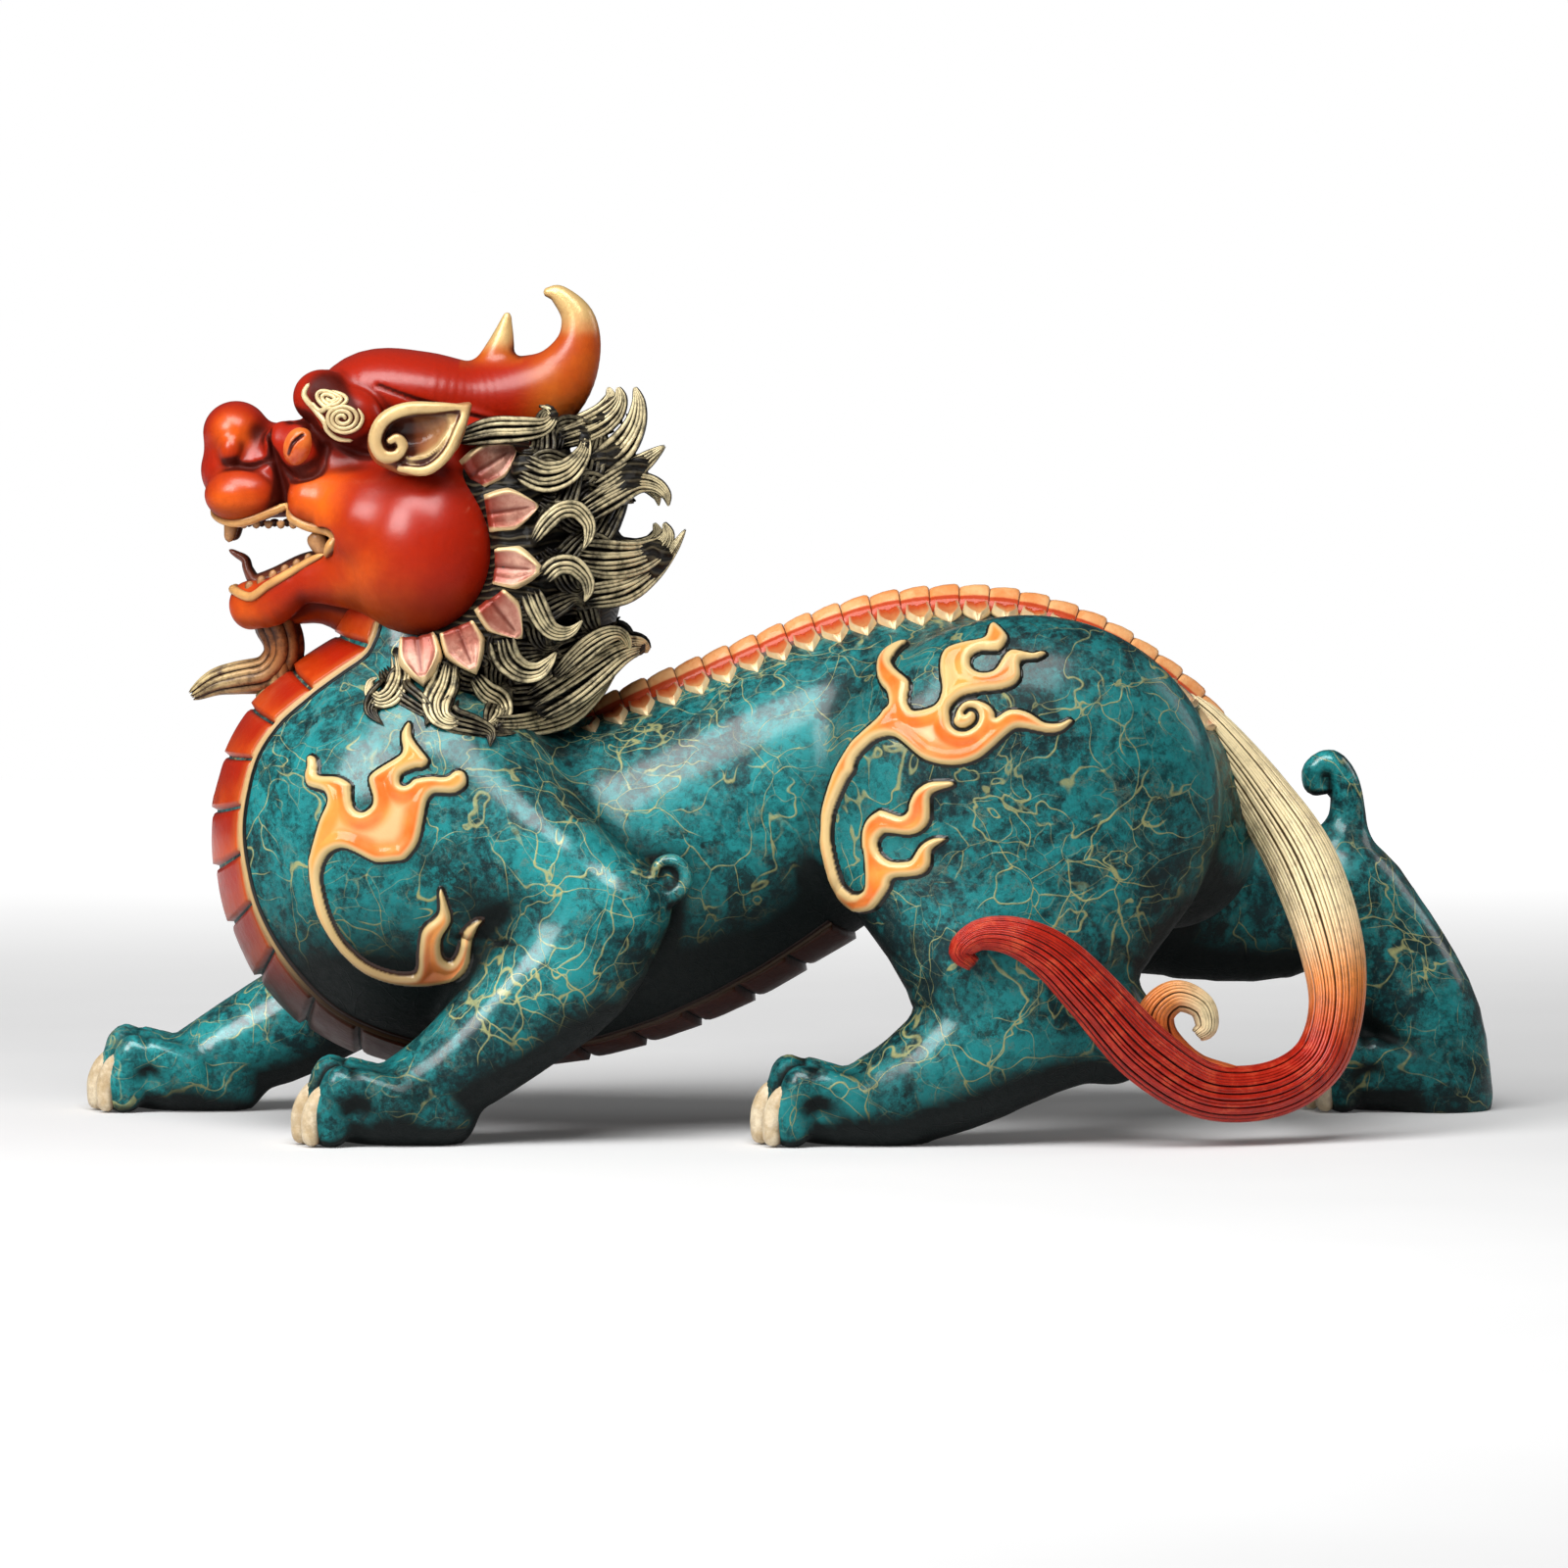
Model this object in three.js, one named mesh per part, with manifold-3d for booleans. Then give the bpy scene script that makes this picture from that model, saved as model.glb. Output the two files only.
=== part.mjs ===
// Pixiu statue: a striding, one-horned guardian beast, cast in one piece, that stands on its four paws.
// Millimetres, +Z up. The head looks towards -X and the tail springs at +X; the tail is swept round to the -Y flank.
// Every form is laid out about the beast's middle plane, y = 0, and the whole is moved to its box's centre at the end.
import * as THREE from "three";
import { mergeVertices } from "three/addons/utils/BufferGeometryUtils.js";
import Module from "manifold-3d";

const wasm = await Module();
wasm.setup();

// Driving dimensions
const BODY_SIDES = 12; // facets round the trunk
const LEG_SIDES = 8; // facets round a leg
const FLAME_RELIEF = 2; // how far a flame stands out of the skin
const FLAME_ROOT = 16; // how far in from the widest flank a flame is cut
const PLATES = 19; // belly plates from the throat to the groin
const PLATE_OUT = 1; // how far the plates stand over the line of the belly
const PLATE_STEP = 1.6; // how far a plate's lower edge stands over the next plate
const TILES = 24; // ridge tiles along the spine
const TILE_HEIGHT = 3.6;
const TOE_SPREAD = 7.6; // from one toe's middle to the next
const MANE = { x: -75.5, z: 141.5, deep: 34, wide: 38, high: 38.5 }; // the ellipsoid under the mane
const CHEEK = { x: -95.5, y: -19, z: 147.5, deep: 22.5, wide: 21.5, high: 23.5 };
const PETAL_ANGLES = [48, 20, -10, -42, -76]; // the cheek's fringe, in degrees above the rear
const CENTRE = { x: -0.2, y: 4.45 }; // from the middle plane to the box's centre
const ACROSS = new THREE.Vector3(0, 1, 0);

// A closed three.js geometry as a solid
function solid(geometry) {
  const bare = new THREE.BufferGeometry().setAttribute("position", geometry.getAttribute("position"));
  if (geometry.index) bare.setIndex(geometry.index);
  const merged = mergeVertices(bare, 1e-4);
  const mesh = new wasm.Mesh({
    numProp: 3,
    vertProperties: new Float32Array(merged.attributes.position.array),
    triVerts: new Uint32Array(merged.index.array),
  });
  return new wasm.Manifold(mesh);
}

function union(solids) {
  let left = [...solids];
  while (left.length > 1) {
    const next = [];
    for (let i = 0; i < left.length; i += 2) {
      next.push(i + 1 < left.length ? left[i].add(left[i + 1]) : left[i]);
    }
    left = next;
  }
  return left[0];
}

const mirrored = (form) => form.mirror([0, 1, 0]);

// Both the form and its twin across the middle plane
const pair = (form) => [form, mirrored(form)];

// A smooth curve through points
function smooth(points) {
  return new THREE.CatmullRomCurve3(points.map((p) => new THREE.Vector3(...p)), false, "catmullrom", 0.5);
}

// A limb through stations [x, y, z, deep, wide]: half its depth in the side plane and half its width across. Flutes
// cut that many grooves along it, as strands of hair.
function limb(stations, { sides = 8, steps = 2 * stations.length, flutes = 0, groove = 0.22, across = ACROSS } = {}) {
  const path = smooth(stations.map((s) => s.slice(0, 3)));
  const size = smooth(stations.map((s) => [s[3], s[4] ?? s[3], 0]));
  const count = flutes ? 2 * flutes : sides;
  const turn = count > 4 ? 0.5 : 0;
  const full = count > 4 ? 1 / Math.cos(Math.PI / count) : 1;
  const rings = [];
  const frame = (t) => {
    const along = path.getTangent(t);
    const side = across.clone().addScaledVector(along, -across.dot(along)).normalize();
    const s = size.getPoint(t);
    return { at: path.getPoint(t), along, side, up: along.clone().cross(side), deep: s.x, wide: s.y };
  };
  for (let i = 0; i <= steps; i++) {
    const f = frame(i / steps);
    const points = [];
    for (let j = 0; j < count; j++) {
      const a = (2 * Math.PI * (j + turn)) / count;
      const r = flutes && j % 2 ? full * (1 - groove) : full;
      const point = f.at.clone().addScaledVector(f.side, r * f.wide * Math.cos(a));
      points.push(point.addScaledVector(f.up, r * f.deep * Math.sin(a)));
    }
    rings.push(points);
  }
  const first = frame(0);
  const last = frame(1);
  const bulge = (f) => 0.5 * Math.min(f.deep, f.wide);
  first.at.addScaledVector(first.along, -bulge(first));
  last.at.addScaledVector(last.along, bulge(last));
  return skin(rings, first.at, last.at);
}

// The closed skin over rings of points, drawn to a point at each end
function skin(rings, start, end) {
  const count = rings[0].length;
  const points = [start, ...rings.flat(), end];
  const faces = [];
  const at = (r, i) => 1 + r * count + (i % count);
  for (let i = 0; i < count; i++) {
    faces.push(0, at(0, i + 1), at(0, i));
    for (let r = 0; r + 1 < rings.length; r++) {
      faces.push(at(r, i), at(r, i + 1), at(r + 1, i));
      faces.push(at(r, i + 1), at(r + 1, i + 1), at(r + 1, i));
    }
    faces.push(at(rings.length - 1, i), at(rings.length - 1, i + 1), points.length - 1);
  }
  const geometry = new THREE.BufferGeometry().setFromPoints(points);
  geometry.setIndex(faces);
  return outward(solid(geometry), geometry);
}

// The solid with its faces out, whichever way its skin was wound
function outward(form, geometry) {
  if (form.volume() >= 0) return form;
  const faces = geometry.index.array;
  for (let i = 0; i < faces.length; i += 3) [faces[i], faces[i + 1]] = [faces[i + 1], faces[i]];
  return solid(geometry);
}

function ball(x, y, z, deep, wide, high, around = 12) {
  const full = 0.5 + 0.5 / Math.cos(Math.PI / around);
  const sphere = new THREE.SphereGeometry(full, around, 2 * Math.round(around / 4));
  return solid(sphere).scale([deep, wide, high]).translate([x, y, z]);
}

// The trunk: a column for the neck and chest, and a barrel that arches over the haunches
const NECK = [
  [-94, 0, 140, 24, 25],
  [-94, 0, 124, 24.5, 28],
  [-99, 0, 106, 36, 36],
  [-101.5, 0, 86, 45.5, 42],
  [-92, 0, 65, 45, 46],
];
const BARREL = [
  [-95, 0, 66, 43, 45],
  [-58, 0, 59.5, 42, 44],
  [-31.5, 0, 67.5, 40.5, 40],
  [-9, 0, 79.5, 37.5, 37],
  [13.5, 0, 91.5, 35, 36],
  [38.5, 0, 95.5, 35.5, 38],
  [63.5, 0, 93.5, 35, 39],
  [83.5, 0, 85, 30, 34],
  [96, 0, 72.5, 22, 26],
];
const SHOULDER = [-88, -30, 74, 33, 22, 38];
const HAUNCH = [60, -34, 85.5, 46.5, 23, 44.5];

const fatter = (stations, by) => stations.map((s) => [s[0], s[1], s[2], s[3] + by, s[4] + by]);

// The trunk, shoulders and haunches, swelled by a relief's height where one is asked for
function trunk(relief = 0) {
  const [sx, sy, sz, ...shoulder] = SHOULDER;
  const [hx, hy, hz, ...haunch] = HAUNCH;
  return union([
    limb(fatter(NECK, relief), { sides: BODY_SIDES, steps: 4 }),
    limb(fatter(BARREL, relief), { sides: BODY_SIDES, steps: 8 }),
    ...pair(ball(sx, sy, sz, ...shoulder.map((r) => r + relief), 12)),
    ...pair(ball(hx, hy, hz, ...haunch.map((r) => r + relief), 12)),
  ]);
}

// A paw on the ground whose claws reach x: four toes bent over their knuckles, with a claw on each
function paw(x, y) {
  const profile = [
    [2.8, 9.5, 1.2, 12.5],
    [4.8, 16.5, 2, 14],
    [10, 21.8, 3, 15],
    [23, 19, 1.5, 15],
    [38, 23, 0, 13],
  ];
  const setBack = (place) => (Math.abs(place) > 1 ? 3 : 0);
  const rings = profile.map(([ahead, top, groove, half]) => {
    const back = ahead < 20 ? 1 : 0;
    const points = [new THREE.Vector3(x + ahead + 3 * back, y - half, -1)];
    points.push(new THREE.Vector3(x + ahead + 3 * back, y - half, top * 0.5));
    for (let i = -3; i <= 3; i++) {
      const toe = i % 2 !== 0;
      const low = (Math.abs(i) === 3 ? 1.5 : 0) + (toe ? 0 : groove);
      points.push(new THREE.Vector3(x + ahead + back * setBack(i / 2), y + (i * TOE_SPREAD) / 2, top - low));
    }
    points.push(new THREE.Vector3(x + ahead + 3 * back, y + half, top * 0.5));
    points.push(new THREE.Vector3(x + ahead + 3 * back, y + half, -1));
    return points;
  });
  const claws = [-1.5, -0.5, 0.5, 1.5].map((place) => {
    const tip = x + setBack(place);
    const toe = y + place * TOE_SPREAD;
    return limb([[tip + 5.6, toe, 12.5, 4, 3.2], [tip + 1, toe, 0, 2.6, 2.6]], { sides: 3, steps: 1 });
  });
  const pad = skin(rings, new THREE.Vector3(x + 3, y, 3), new THREE.Vector3(x + 40, y, 8));
  return union([pad, ...claws]);
}

// The near fore leg stretches forward from the elbow; the far one reaches further
function foreLegs() {
  const nearUpper = limb(
    [
      [-86, -33, 82, 22, 17],
      [-64, -42, 70, 18, 15],
      [-44, -47, 59, 14, 12],
      [-31, -49, 62.5, 4.5, 5],
    ],
    { sides: LEG_SIDES, steps: 4 },
  );
  const nearLower = limb(
    [
      [-43, -46, 56, 13, 13],
      [-54.5, -46, 44.5, 17.5, 16],
      [-70, -46, 30, 15, 15],
      [-85, -46, 17.5, 12, 13.5],
      [-97, -46, 11, 10, 13],
    ],
    { sides: LEG_SIDES, steps: 4 },
  );
  const farUpper = limb(
    [
      [-88, 33, 80, 22, 17],
      [-68, 42, 68, 18, 15],
      [-52, 47, 60, 14, 12],
      [-40, 49, 64, 4.5, 5],
    ],
    { sides: LEG_SIDES, steps: 4 },
  );
  const farLower = limb(
    [
      [-66, 46, 58, 17, 15],
      [-96.5, 46, 41, 17, 15.5],
      [-117, 46, 30, 15.5, 14.5],
      [-135, 46, 20, 14.6, 13.5],
      [-156, 46, 10.5, 10, 13],
    ],
    { sides: LEG_SIDES, steps: 4 },
  );
  return [nearUpper, nearLower, paw(-124, -46), farUpper, farLower, paw(-183, 46)];
}

// The near hind leg is bent under the haunch; the far one pushes off behind, its heel high and its toes on the ground
function hindLegs() {
  const near = limb(
    [
      [64, -38, 72, 37, 20],
      [57, -42, 47, 29.5, 18],
      [48.5, -45, 27.5, 18.5, 16],
      [31, -46, 15.2, 13.5, 14.2],
    ],
    { sides: LEG_SIDES, steps: 3 },
  );
  const fold = limb(
    [
      [22, -35, 73, 14, 10],
      [31, -39, 62.5, 15, 14],
      [46, -44, 47, 16, 16],
    ],
    { sides: 6, steps: 2 },
  );
  const heelNear = limb(
    [
      [81, -44, 28.7, 11.5, 11],
      [62, -45, 24, 12.5, 13],
      [43, -46, 15.8, 11.5, 14],
      [26, -45.6, 10, 10, 13.5],
    ],
    { sides: 6, steps: 3 },
  );
  const far = limb(
    [
      [80, 36, 70, 33, 18],
      [105, 41, 56, 23, 15],
      [128, 44, 52.5, 18.8, 13],
      [146, 46, 56, 13.5, 12],
    ],
    { sides: LEG_SIDES, steps: 4 },
  );
  const heel = limb(
    [
      [141.5, 46, 67, 8, 9.5],
      [147.5, 46, 54, 12, 12],
      [156.5, 46, 38, 13, 12.5],
      [165, 46, 22, 14, 13.5],
      [169.5, 46, -2, 14.4, 15],
    ],
    { sides: LEG_SIDES, steps: 4 },
  );
  return [near, fold, heelNear, paw(-9.5, -46), far, heel, paw(134, 46)];
}

// Hooked tufts of hair at the elbows and hocks
function tufts() {
  const elbow = [
    [-33, -49, 62.5, 3.6, 4],
    [-27, -50.5, 65.5, 2.4, 3],
    [-27.5, -51, 69.5, 1.9, 2.4],
    [-31.5, -51, 69.5, 1.5, 2],
    [-31, -51, 66, 1.2, 1.6],
  ];
  const hock = [
    [144.5, 46, 66, 7, 6],
    [144, 46, 79, 4.6, 4.6],
    [143, 46, 86.5, 4, 4.2],
    [140, 46, 90.3, 3.4, 3.8],
    [136.8, 46, 87.3, 2.8, 3.4],
    [139, 46, 84, 1.8, 2.4],
  ];
  const shift = (stations, dx, dy, dz) => stations.map((s) => [s[0] + dx, s[1] + dy, s[2] + dz, s[3], s[4]]);
  return [
    limb(elbow, { sides: 4, steps: 4 }),
    mirrored(limb(shift(elbow, -9, 0, 1.5), { sides: 4, steps: 4 })),
    limb(hock, { sides: 5, steps: 6 }),
    limb(shift(hock, -66, -96, -45), { sides: 4, steps: 4 }),
  ];
}

// The middle line of the belly from the throat to the groin, at the plates' outer face
const BELLY = smooth([
  [-117.5, 0, 123.5],
  [-127.5, 0, 116],
  [-137, 0, 109.5],
  [-145.5, 0, 98],
  [-148.5, 0, 80],
  [-146, 0, 65],
  [-139.5, 0, 50.5],
  [-128, 0, 37.5],
  [-115.5, 0, 26],
  [-99, 0, 18.5],
  [-81.5, 0, 15],
  [-61.5, 0, 16.5],
  [-41.5, 0, 21],
  [-26.5, 0, 27],
  [-11.5, 0, 35],
  [3.5, 0, 43.8],
  [15, 0, 52.5],
]);

// The belly plates: one band bent round the trunk, stepped where each plate laps over the next
function bellyPlates() {
  const bends = 4;
  const girth = 46;
  const rings = [];
  for (let i = 0; i < PLATES; i++) {
    for (const [part, drop] of [[0, PLATE_STEP], [1, 0]]) {
      const u = (i + part + (part ? -0.06 : 0.06)) / PLATES;
      const at = BELLY.getPointAt(u);
      const along = BELLY.getTangentAt(u);
      const out = new THREE.Vector3(along.z, 0, -along.x);
      const half = 17 + 12 * Math.sin(Math.PI * Math.min(1, u * 1.25 + 0.1));
      const points = [];
      for (let j = 0; j <= bends; j++) {
        const y = half * ((2 * j) / bends - 1);
        const sag = girth - Math.sqrt(girth * girth - y * y);
        points.push(at.clone().addScaledVector(out, PLATE_OUT - drop - sag).setY(y));
      }
      points.push(at.clone().addScaledVector(out, -27));
      rings.push(points);
    }
  }
  const middle = (ring) => ring[bends / 2].clone().lerp(ring[bends + 1], 0.5).setY(0);
  return skin(rings, middle(rings[0]), middle(rings[rings.length - 1]));
}

// The line of the spine on the skin, from the mane to the root of the tail
const SPINE = smooth([
  [-56, 0, 101.5],
  [-41.5, 0, 108.5],
  [-26.5, 0, 114.5],
  [-11.5, 0, 120.5],
  [3.5, 0, 126.5],
  [18.5, 0, 131.3],
  [33.5, 0, 133.8],
  [48.5, 0, 134.2],
  [63.5, 0, 131.8],
  [78.5, 0, 126.3],
  [91, 0, 118.6],
  [101, 0, 110.5],
  [108, 0, 102.5],
]);

// The ridge: one band of roof-like tiles, each higher at its rear edge, over scales that hang down both flanks
function spineRidge() {
  const rings = [];
  for (let i = 0; i < TILES; i++) {
    for (const [part, height, hang] of [[0.04, 0.5, 5], [0.92, 1, 10]]) {
      const u = (i + part) / TILES;
      const at = SPINE.getPointAt(u);
      const along = SPINE.getTangentAt(u);
      const up = new THREE.Vector3(-along.z, 0, along.x);
      const on = (y, z) => at.clone().addScaledVector(up, z).setY(y);
      const top = TILE_HEIGHT * height;
      const skirt = -0.014 * hang * hang;
      const crown = [on(-hang, skirt), on(-3.6, 0.2), on(-2.6, top), on(2.6, top), on(3.6, 0.2), on(hang, skirt)];
      rings.push([on(0, -6), ...crown]);
    }
  }
  const middle = (ring) => ring[0].clone().setY(0);
  return skin(rings, middle(rings[0]), middle(rings[rings.length - 1]));
}

// The prism over a brush stroke through [x, z, half width], which tapers as it goes
function stroke(stations) {
  const path = smooth(stations.map(([x, z]) => [x, z, 0]));
  const size = smooth(stations.map((s) => [s[2], 0, 0]));
  const steps = stations.length - 1;
  const left = [];
  const right = [];
  for (let i = 0; i <= steps; i++) {
    const at = path.getPoint(i / steps);
    const along = path.getTangent(i / steps);
    const half = Math.max(0.25, size.getPoint(i / steps).x);
    left.push(new THREE.Vector2(at.x - along.y * half, at.y + along.x * half));
    right.unshift(new THREE.Vector2(at.x + along.y * half, at.y - along.x * half));
  }
  const prism = new THREE.ExtrudeGeometry(new THREE.Shape([...left, ...right]), { depth: 60, bevelEnabled: false });
  prism.rotateX(Math.PI / 2).translate(0, -FLAME_ROOT, 0);
  return solid(prism);
}

// The flames carved on a flank, as brush strokes in the side plane
const SHOULDER_FLAME = [
  [[-96, 42.5, 2.5], [-107, 47.5, 2], [-115, 60, 1.9], [-117, 71, 3], [-113, 80, 4.2], [-115, 89, 2.8], [-119, 97, 0.4]],
  [[-116, 73, 3], [-107, 78.5, 6], [-98, 79, 8], [-92, 86, 4]],
  [[-99, 80, 7], [-100, 88, 4.6], [-94, 97, 2.6], [-95.5, 105, 0.3]],
  [[-95, 82, 6], [-90, 87.5, 3.4], [-80, 93, 0.8]],
  [[-97, 42.5, 2], [-90, 43.5, 4], [-82, 47, 3.6], [-76.5, 57, 0.3]],
  [[-90, 43.5, 3.5], [-91, 50, 2.8], [-86.5, 64, 0.3]],
];
const HAUNCH_FLAME = [
  [[19, 62, 2], [10, 73, 1.6], [10, 86, 1.8], [18, 99, 2.6], [27, 106, 4.4], [25, 117, 2.2], [28.5, 124.5, 0.3]],
  [[24, 104, 3.5], [34, 102, 6.4], [48, 102, 4.6], [58, 106.5, 2.2], [70, 107, 0.3]],
  [[38, 103, 6], [42, 114, 4.4], [49.5, 125.5, 2.2], [51, 129.5, 0.3]],
  [[43, 111, 4], [53, 117, 2.4], [63.5, 121.5, 0.3]],
  [[17.5, 62, 2], [20.5, 62, 3], [21.5, 74, 3], [29, 82.5, 2], [40.5, 90.5, 0.3]],
  [[21.5, 65.5, 3], [30, 69.5, 2], [39, 77, 0.3]],
];

// The flames of both flanks: each stroke's prism, cut to the trunk swelled by the relief. The far flank, which is
// seldom seen, has the main strokes only.
function flames() {
  const swelled = trunk(FLAME_RELIEF);
  const cut = (strokes) => union(strokes.map(stroke)).intersect(swelled);
  const main = [...SHOULDER_FLAME.slice(0, 3), ...HAUNCH_FLAME.slice(0, 2)];
  return [cut([...SHOULDER_FLAME, ...HAUNCH_FLAME]), mirrored(cut(main))];
}

// The near half of the head; the far half is its twin
function headHalf() {
  const side = -1;
  const forms = [
    ball(CHEEK.x, CHEEK.y, CHEEK.z, CHEEK.deep, CHEEK.wide, CHEEK.high, 10),
    ball(-138.5, side * 8.5, 159.8, 10.4, 9.5, 9.2, 8),
    ball(-121, side * 13, 159.8, 11, 9.5, 9.2, 8),
    ball(-141, side * 8, 173, 3.6, 4.5, 4.4, 5),
    ball(-123.5, side * 15.5, 173.5, 4.6, 4.2, 5.2, 6),
    ball(-118.3, side * 14, 186.2, 7.6, 7, 7, 8),
    ball(-115.5, side * 19.5, 186.5, 4.2, 3, 4.2, 5),
    ball(-111.5, side * 21, 180, 5.2, 3.4, 5.2, 6),
    limb(
      [
        [-128, -14, 157, 1.5, 2],
        [-118, -18, 155.5, 1.7, 2.4],
        [-111, -21, 151.5, 1.8, 2.4],
        [-112.5, -20.5, 146.5, 1.6, 2.2],
        [-118, -18, 144.5, 1.2, 1.8],
      ],
      { sides: 4, steps: 4 },
    ),
    limb(
      [
        [-141.5, -8, 158, 2, 2],
        [-141.8, -8, 150, 1, 1],
      ],
      { sides: 4, steps: 1 },
    ),
    limb(
      [
        [-119, -17, 152, 2.6, 2],
        [-116.5, -17, 145, 1.4, 1.4],
      ],
      { sides: 4, steps: 1 },
    ),
  ];
  return union([...forms, ear(), ...petals()]);
}

// An ear: a pointed cup that opens to the side, rolled over at its front
function ear() {
  const shell = limb(
    [
      [-101, -29, 175, 6, 5],
      [-93.5, -32, 174.5, 8.5, 6.5],
      [-87.5, -33, 177.5, 6.8, 5],
      [-80.5, -34, 183.5, 1, 1.2],
    ],
    { sides: 6, steps: 3 },
  );
  const hollow = ball(-91.5, -40, 176.5, 9, 6.5, 5.2, 6);
  const roll = limb(
    [
      [-96, -36, 182, 1.8, 2],
      [-101.5, -36, 180.5, 2, 2.2],
      [-103.5, -36, 175.5, 2, 2.2],
      [-100, -36, 172, 1.8, 2],
      [-97, -36, 174.5, 1.4, 1.6],
    ],
    { sides: 4, steps: 4 },
  );
  return shell.subtract(hollow).add(roll);
}

// The leaf-shaped fringe that rings the cheek
function petals() {
  return PETAL_ANGLES.map((degrees) => {
    const a = (degrees * Math.PI) / 180;
    const on = (radius, lift, deep, wide) => {
      const x = CHEEK.x + radius * Math.cos(a);
      const z = CHEEK.z + radius * Math.sin(a);
      return [x, maneDepth(x, z, lift), z, deep, wide];
    };
    return limb([on(22, -3, 5.6, 4.5), on(33, 0, 0.5, 0.6)], { sides: 4, steps: 1 });
  });
}

// The middle of the head: skull, crest that runs back into the horn, muzzle, nose, jaw and tongue
function headMiddle() {
  const crest = limb(
    [
      [-115, 0, 184, 9, 14],
      [-106, 0, 186, 12, 16],
      [-94, 0, 186, 11.5, 16],
      [-81.5, 0, 184, 11, 13],
      [-69, 0, 184, 12, 10],
      [-59, 0, 189, 9.5, 7.5],
      [-54, 0, 198, 6, 5.5],
      [-53.5, 0, 206, 4.2, 4],
      [-59.5, 0, 212.2, 2.4, 2],
    ],
    { sides: 8, steps: 8 },
  );
  const prong = limb(
    [
      [-75, 0, 190, 5.6, 4.2],
      [-73, 0, 200, 3.4, 3],
      [-72, 0, 207, 0.9, 1],
    ],
    { sides: 5, steps: 2 },
  );
  const jaw = limb(
    [
      [-104, 0, 138, 13.5, 22],
      [-117, 0, 139.5, 9.6, 17],
      [-128.5, 0, 136.5, 8.4, 13.5],
      [-139, 0, 136.5, 6.4, 9],
    ],
    { sides: 8, steps: 4 },
  );
  const muzzle = limb(
    [
      [-100, 0, 168, 17, 22],
      [-119, 0, 168.5, 13.5, 18],
      [-134, 0, 166, 12.5, 14],
      [-140, 0, 167, 11, 11],
    ],
    { sides: 8, steps: 3 },
  );
  const tongue = limb(
    [
      [-118, 0, 143, 2.6, 8],
      [-130, 0, 140.5, 2.4, 6.5],
      [-136, 0, 142, 2, 4],
      [-140, 0, 144.5, 1, 2],
    ],
    { sides: 5, steps: 4 },
  );
  return union([
    ball(-90, 0, 166, 27, 24, 22, 8),
    ball(-141, 0, 177.3, 8.6, 11.5, 7.4, 8),
    crest,
    prong,
    jaw,
    muzzle,
    tongue,
    beard(),
  ]);
}

// The beard falls from the chin, touches the chest and sweeps forward
function beard() {
  const fall = [
    [-131.5, 0, 131, 5, 7],
    [-128.5, 0, 122.5, 4.6, 7],
    [-130, 0, 116.5, 4.2, 6.5],
    [-136, 0, 114.3, 4, 5.5],
    [-144, 0, 114.2, 3.4, 4.2],
    [-152.3, 0, 110.3, 1.8, 2],
  ];
  const root = [
    [-129, 0, 116, 3.6, 6],
    [-133, 0, 108, 3, 5],
  ];
  return union([limb(fall, { flutes: 3, steps: 6, groove: 0.15 }), limb(root, { sides: 6, steps: 1 })]);
}

// The depth of the mane's surface over a point of the side plane, raised by a lock's lift
function maneDepth(x, z, lift) {
  const reach = 1.25;
  const a = (x - MANE.x) / (MANE.deep * reach);
  const b = (z - MANE.z) / (MANE.high * reach);
  return -(MANE.wide + lift) * Math.sqrt(Math.max(0.03, 1 - a * a - b * b));
}

// The locks of the near flank, each through [x, z, half width] from its root to its tip
const CURLS = [
  [[-84.5, 174.5, 2.5], [-76, 177, 3.6], [-67.5, 177.5, 3.2], [-61.5, 178.5, 2.2], [-60.5, 182, 1]],
  [[-67.5, 163, 3.5], [-59, 165, 5], [-52.5, 169, 4], [-51.5, 175.5, 0.8]],
  [[-66.5, 149.5, 2.6], [-61, 156.5, 3.2], [-54, 158.5, 3.2], [-50, 154.5, 2.2], [-51, 148.5, 0.8]],
  [[-63.5, 143, 2.8], [-58.5, 146.5, 3.8], [-52.5, 145, 3.6], [-50, 141, 2.6], [-51.5, 135.5, 0.8]],
  [[-67, 136, 3], [-64, 131, 3.6], [-60, 126, 3.2], [-56, 126, 2.4], [-52.5, 129.5, 0.9]],
  [[-75.5, 124.5, 3.6], [-71.5, 118.5, 4.2], [-65, 115.5, 3.6], [-60.5, 117.5, 2.6], [-58, 121, 0.9]],
  [[-98, 121, 2.6], [-97, 113, 3.2], [-100, 107.5, 2.8], [-104.5, 108, 2.2], [-105.5, 113, 1]],
];
const FLAGS = [
  [[-69, 171, 5], [-56, 177, 4.8], [-47, 183.5, 3.4], [-46, 190, 0.9]],
  [[-51, 168.5, 4.5], [-42.5, 174.5, 3.8], [-40.5, 182, 2.8], [-42, 189, 0.8]],
  [[-50, 163, 4.4], [-41, 166.5, 3.4], [-35.5, 169, 2.6], [-32, 173, 0.8]],
  [[-52, 154.5, 5], [-43.5, 159, 4.6], [-37, 162.5, 3.4], [-32.5, 161.5, 2.2], [-31, 157.5, 0.8]],
  [[-53, 141.5, 6], [-44, 144.5, 6.4], [-36.5, 148.5, 4.2], [-31.5, 153.5, 0.9]],
  [[-49, 133, 5], [-40.5, 138.5, 5], [-34, 144, 3.4], [-28, 152, 0.8]],
  [[-62, 108, 6], [-54, 115.5, 7], [-46, 121.5, 5.6], [-40.5, 123.5, 3.6], [-36.5, 119.5, 1]],
  [[-73, 104, 4], [-63, 105.5, 5.6], [-53, 111, 4.6], [-45.5, 115, 1.6]],
];

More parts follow.
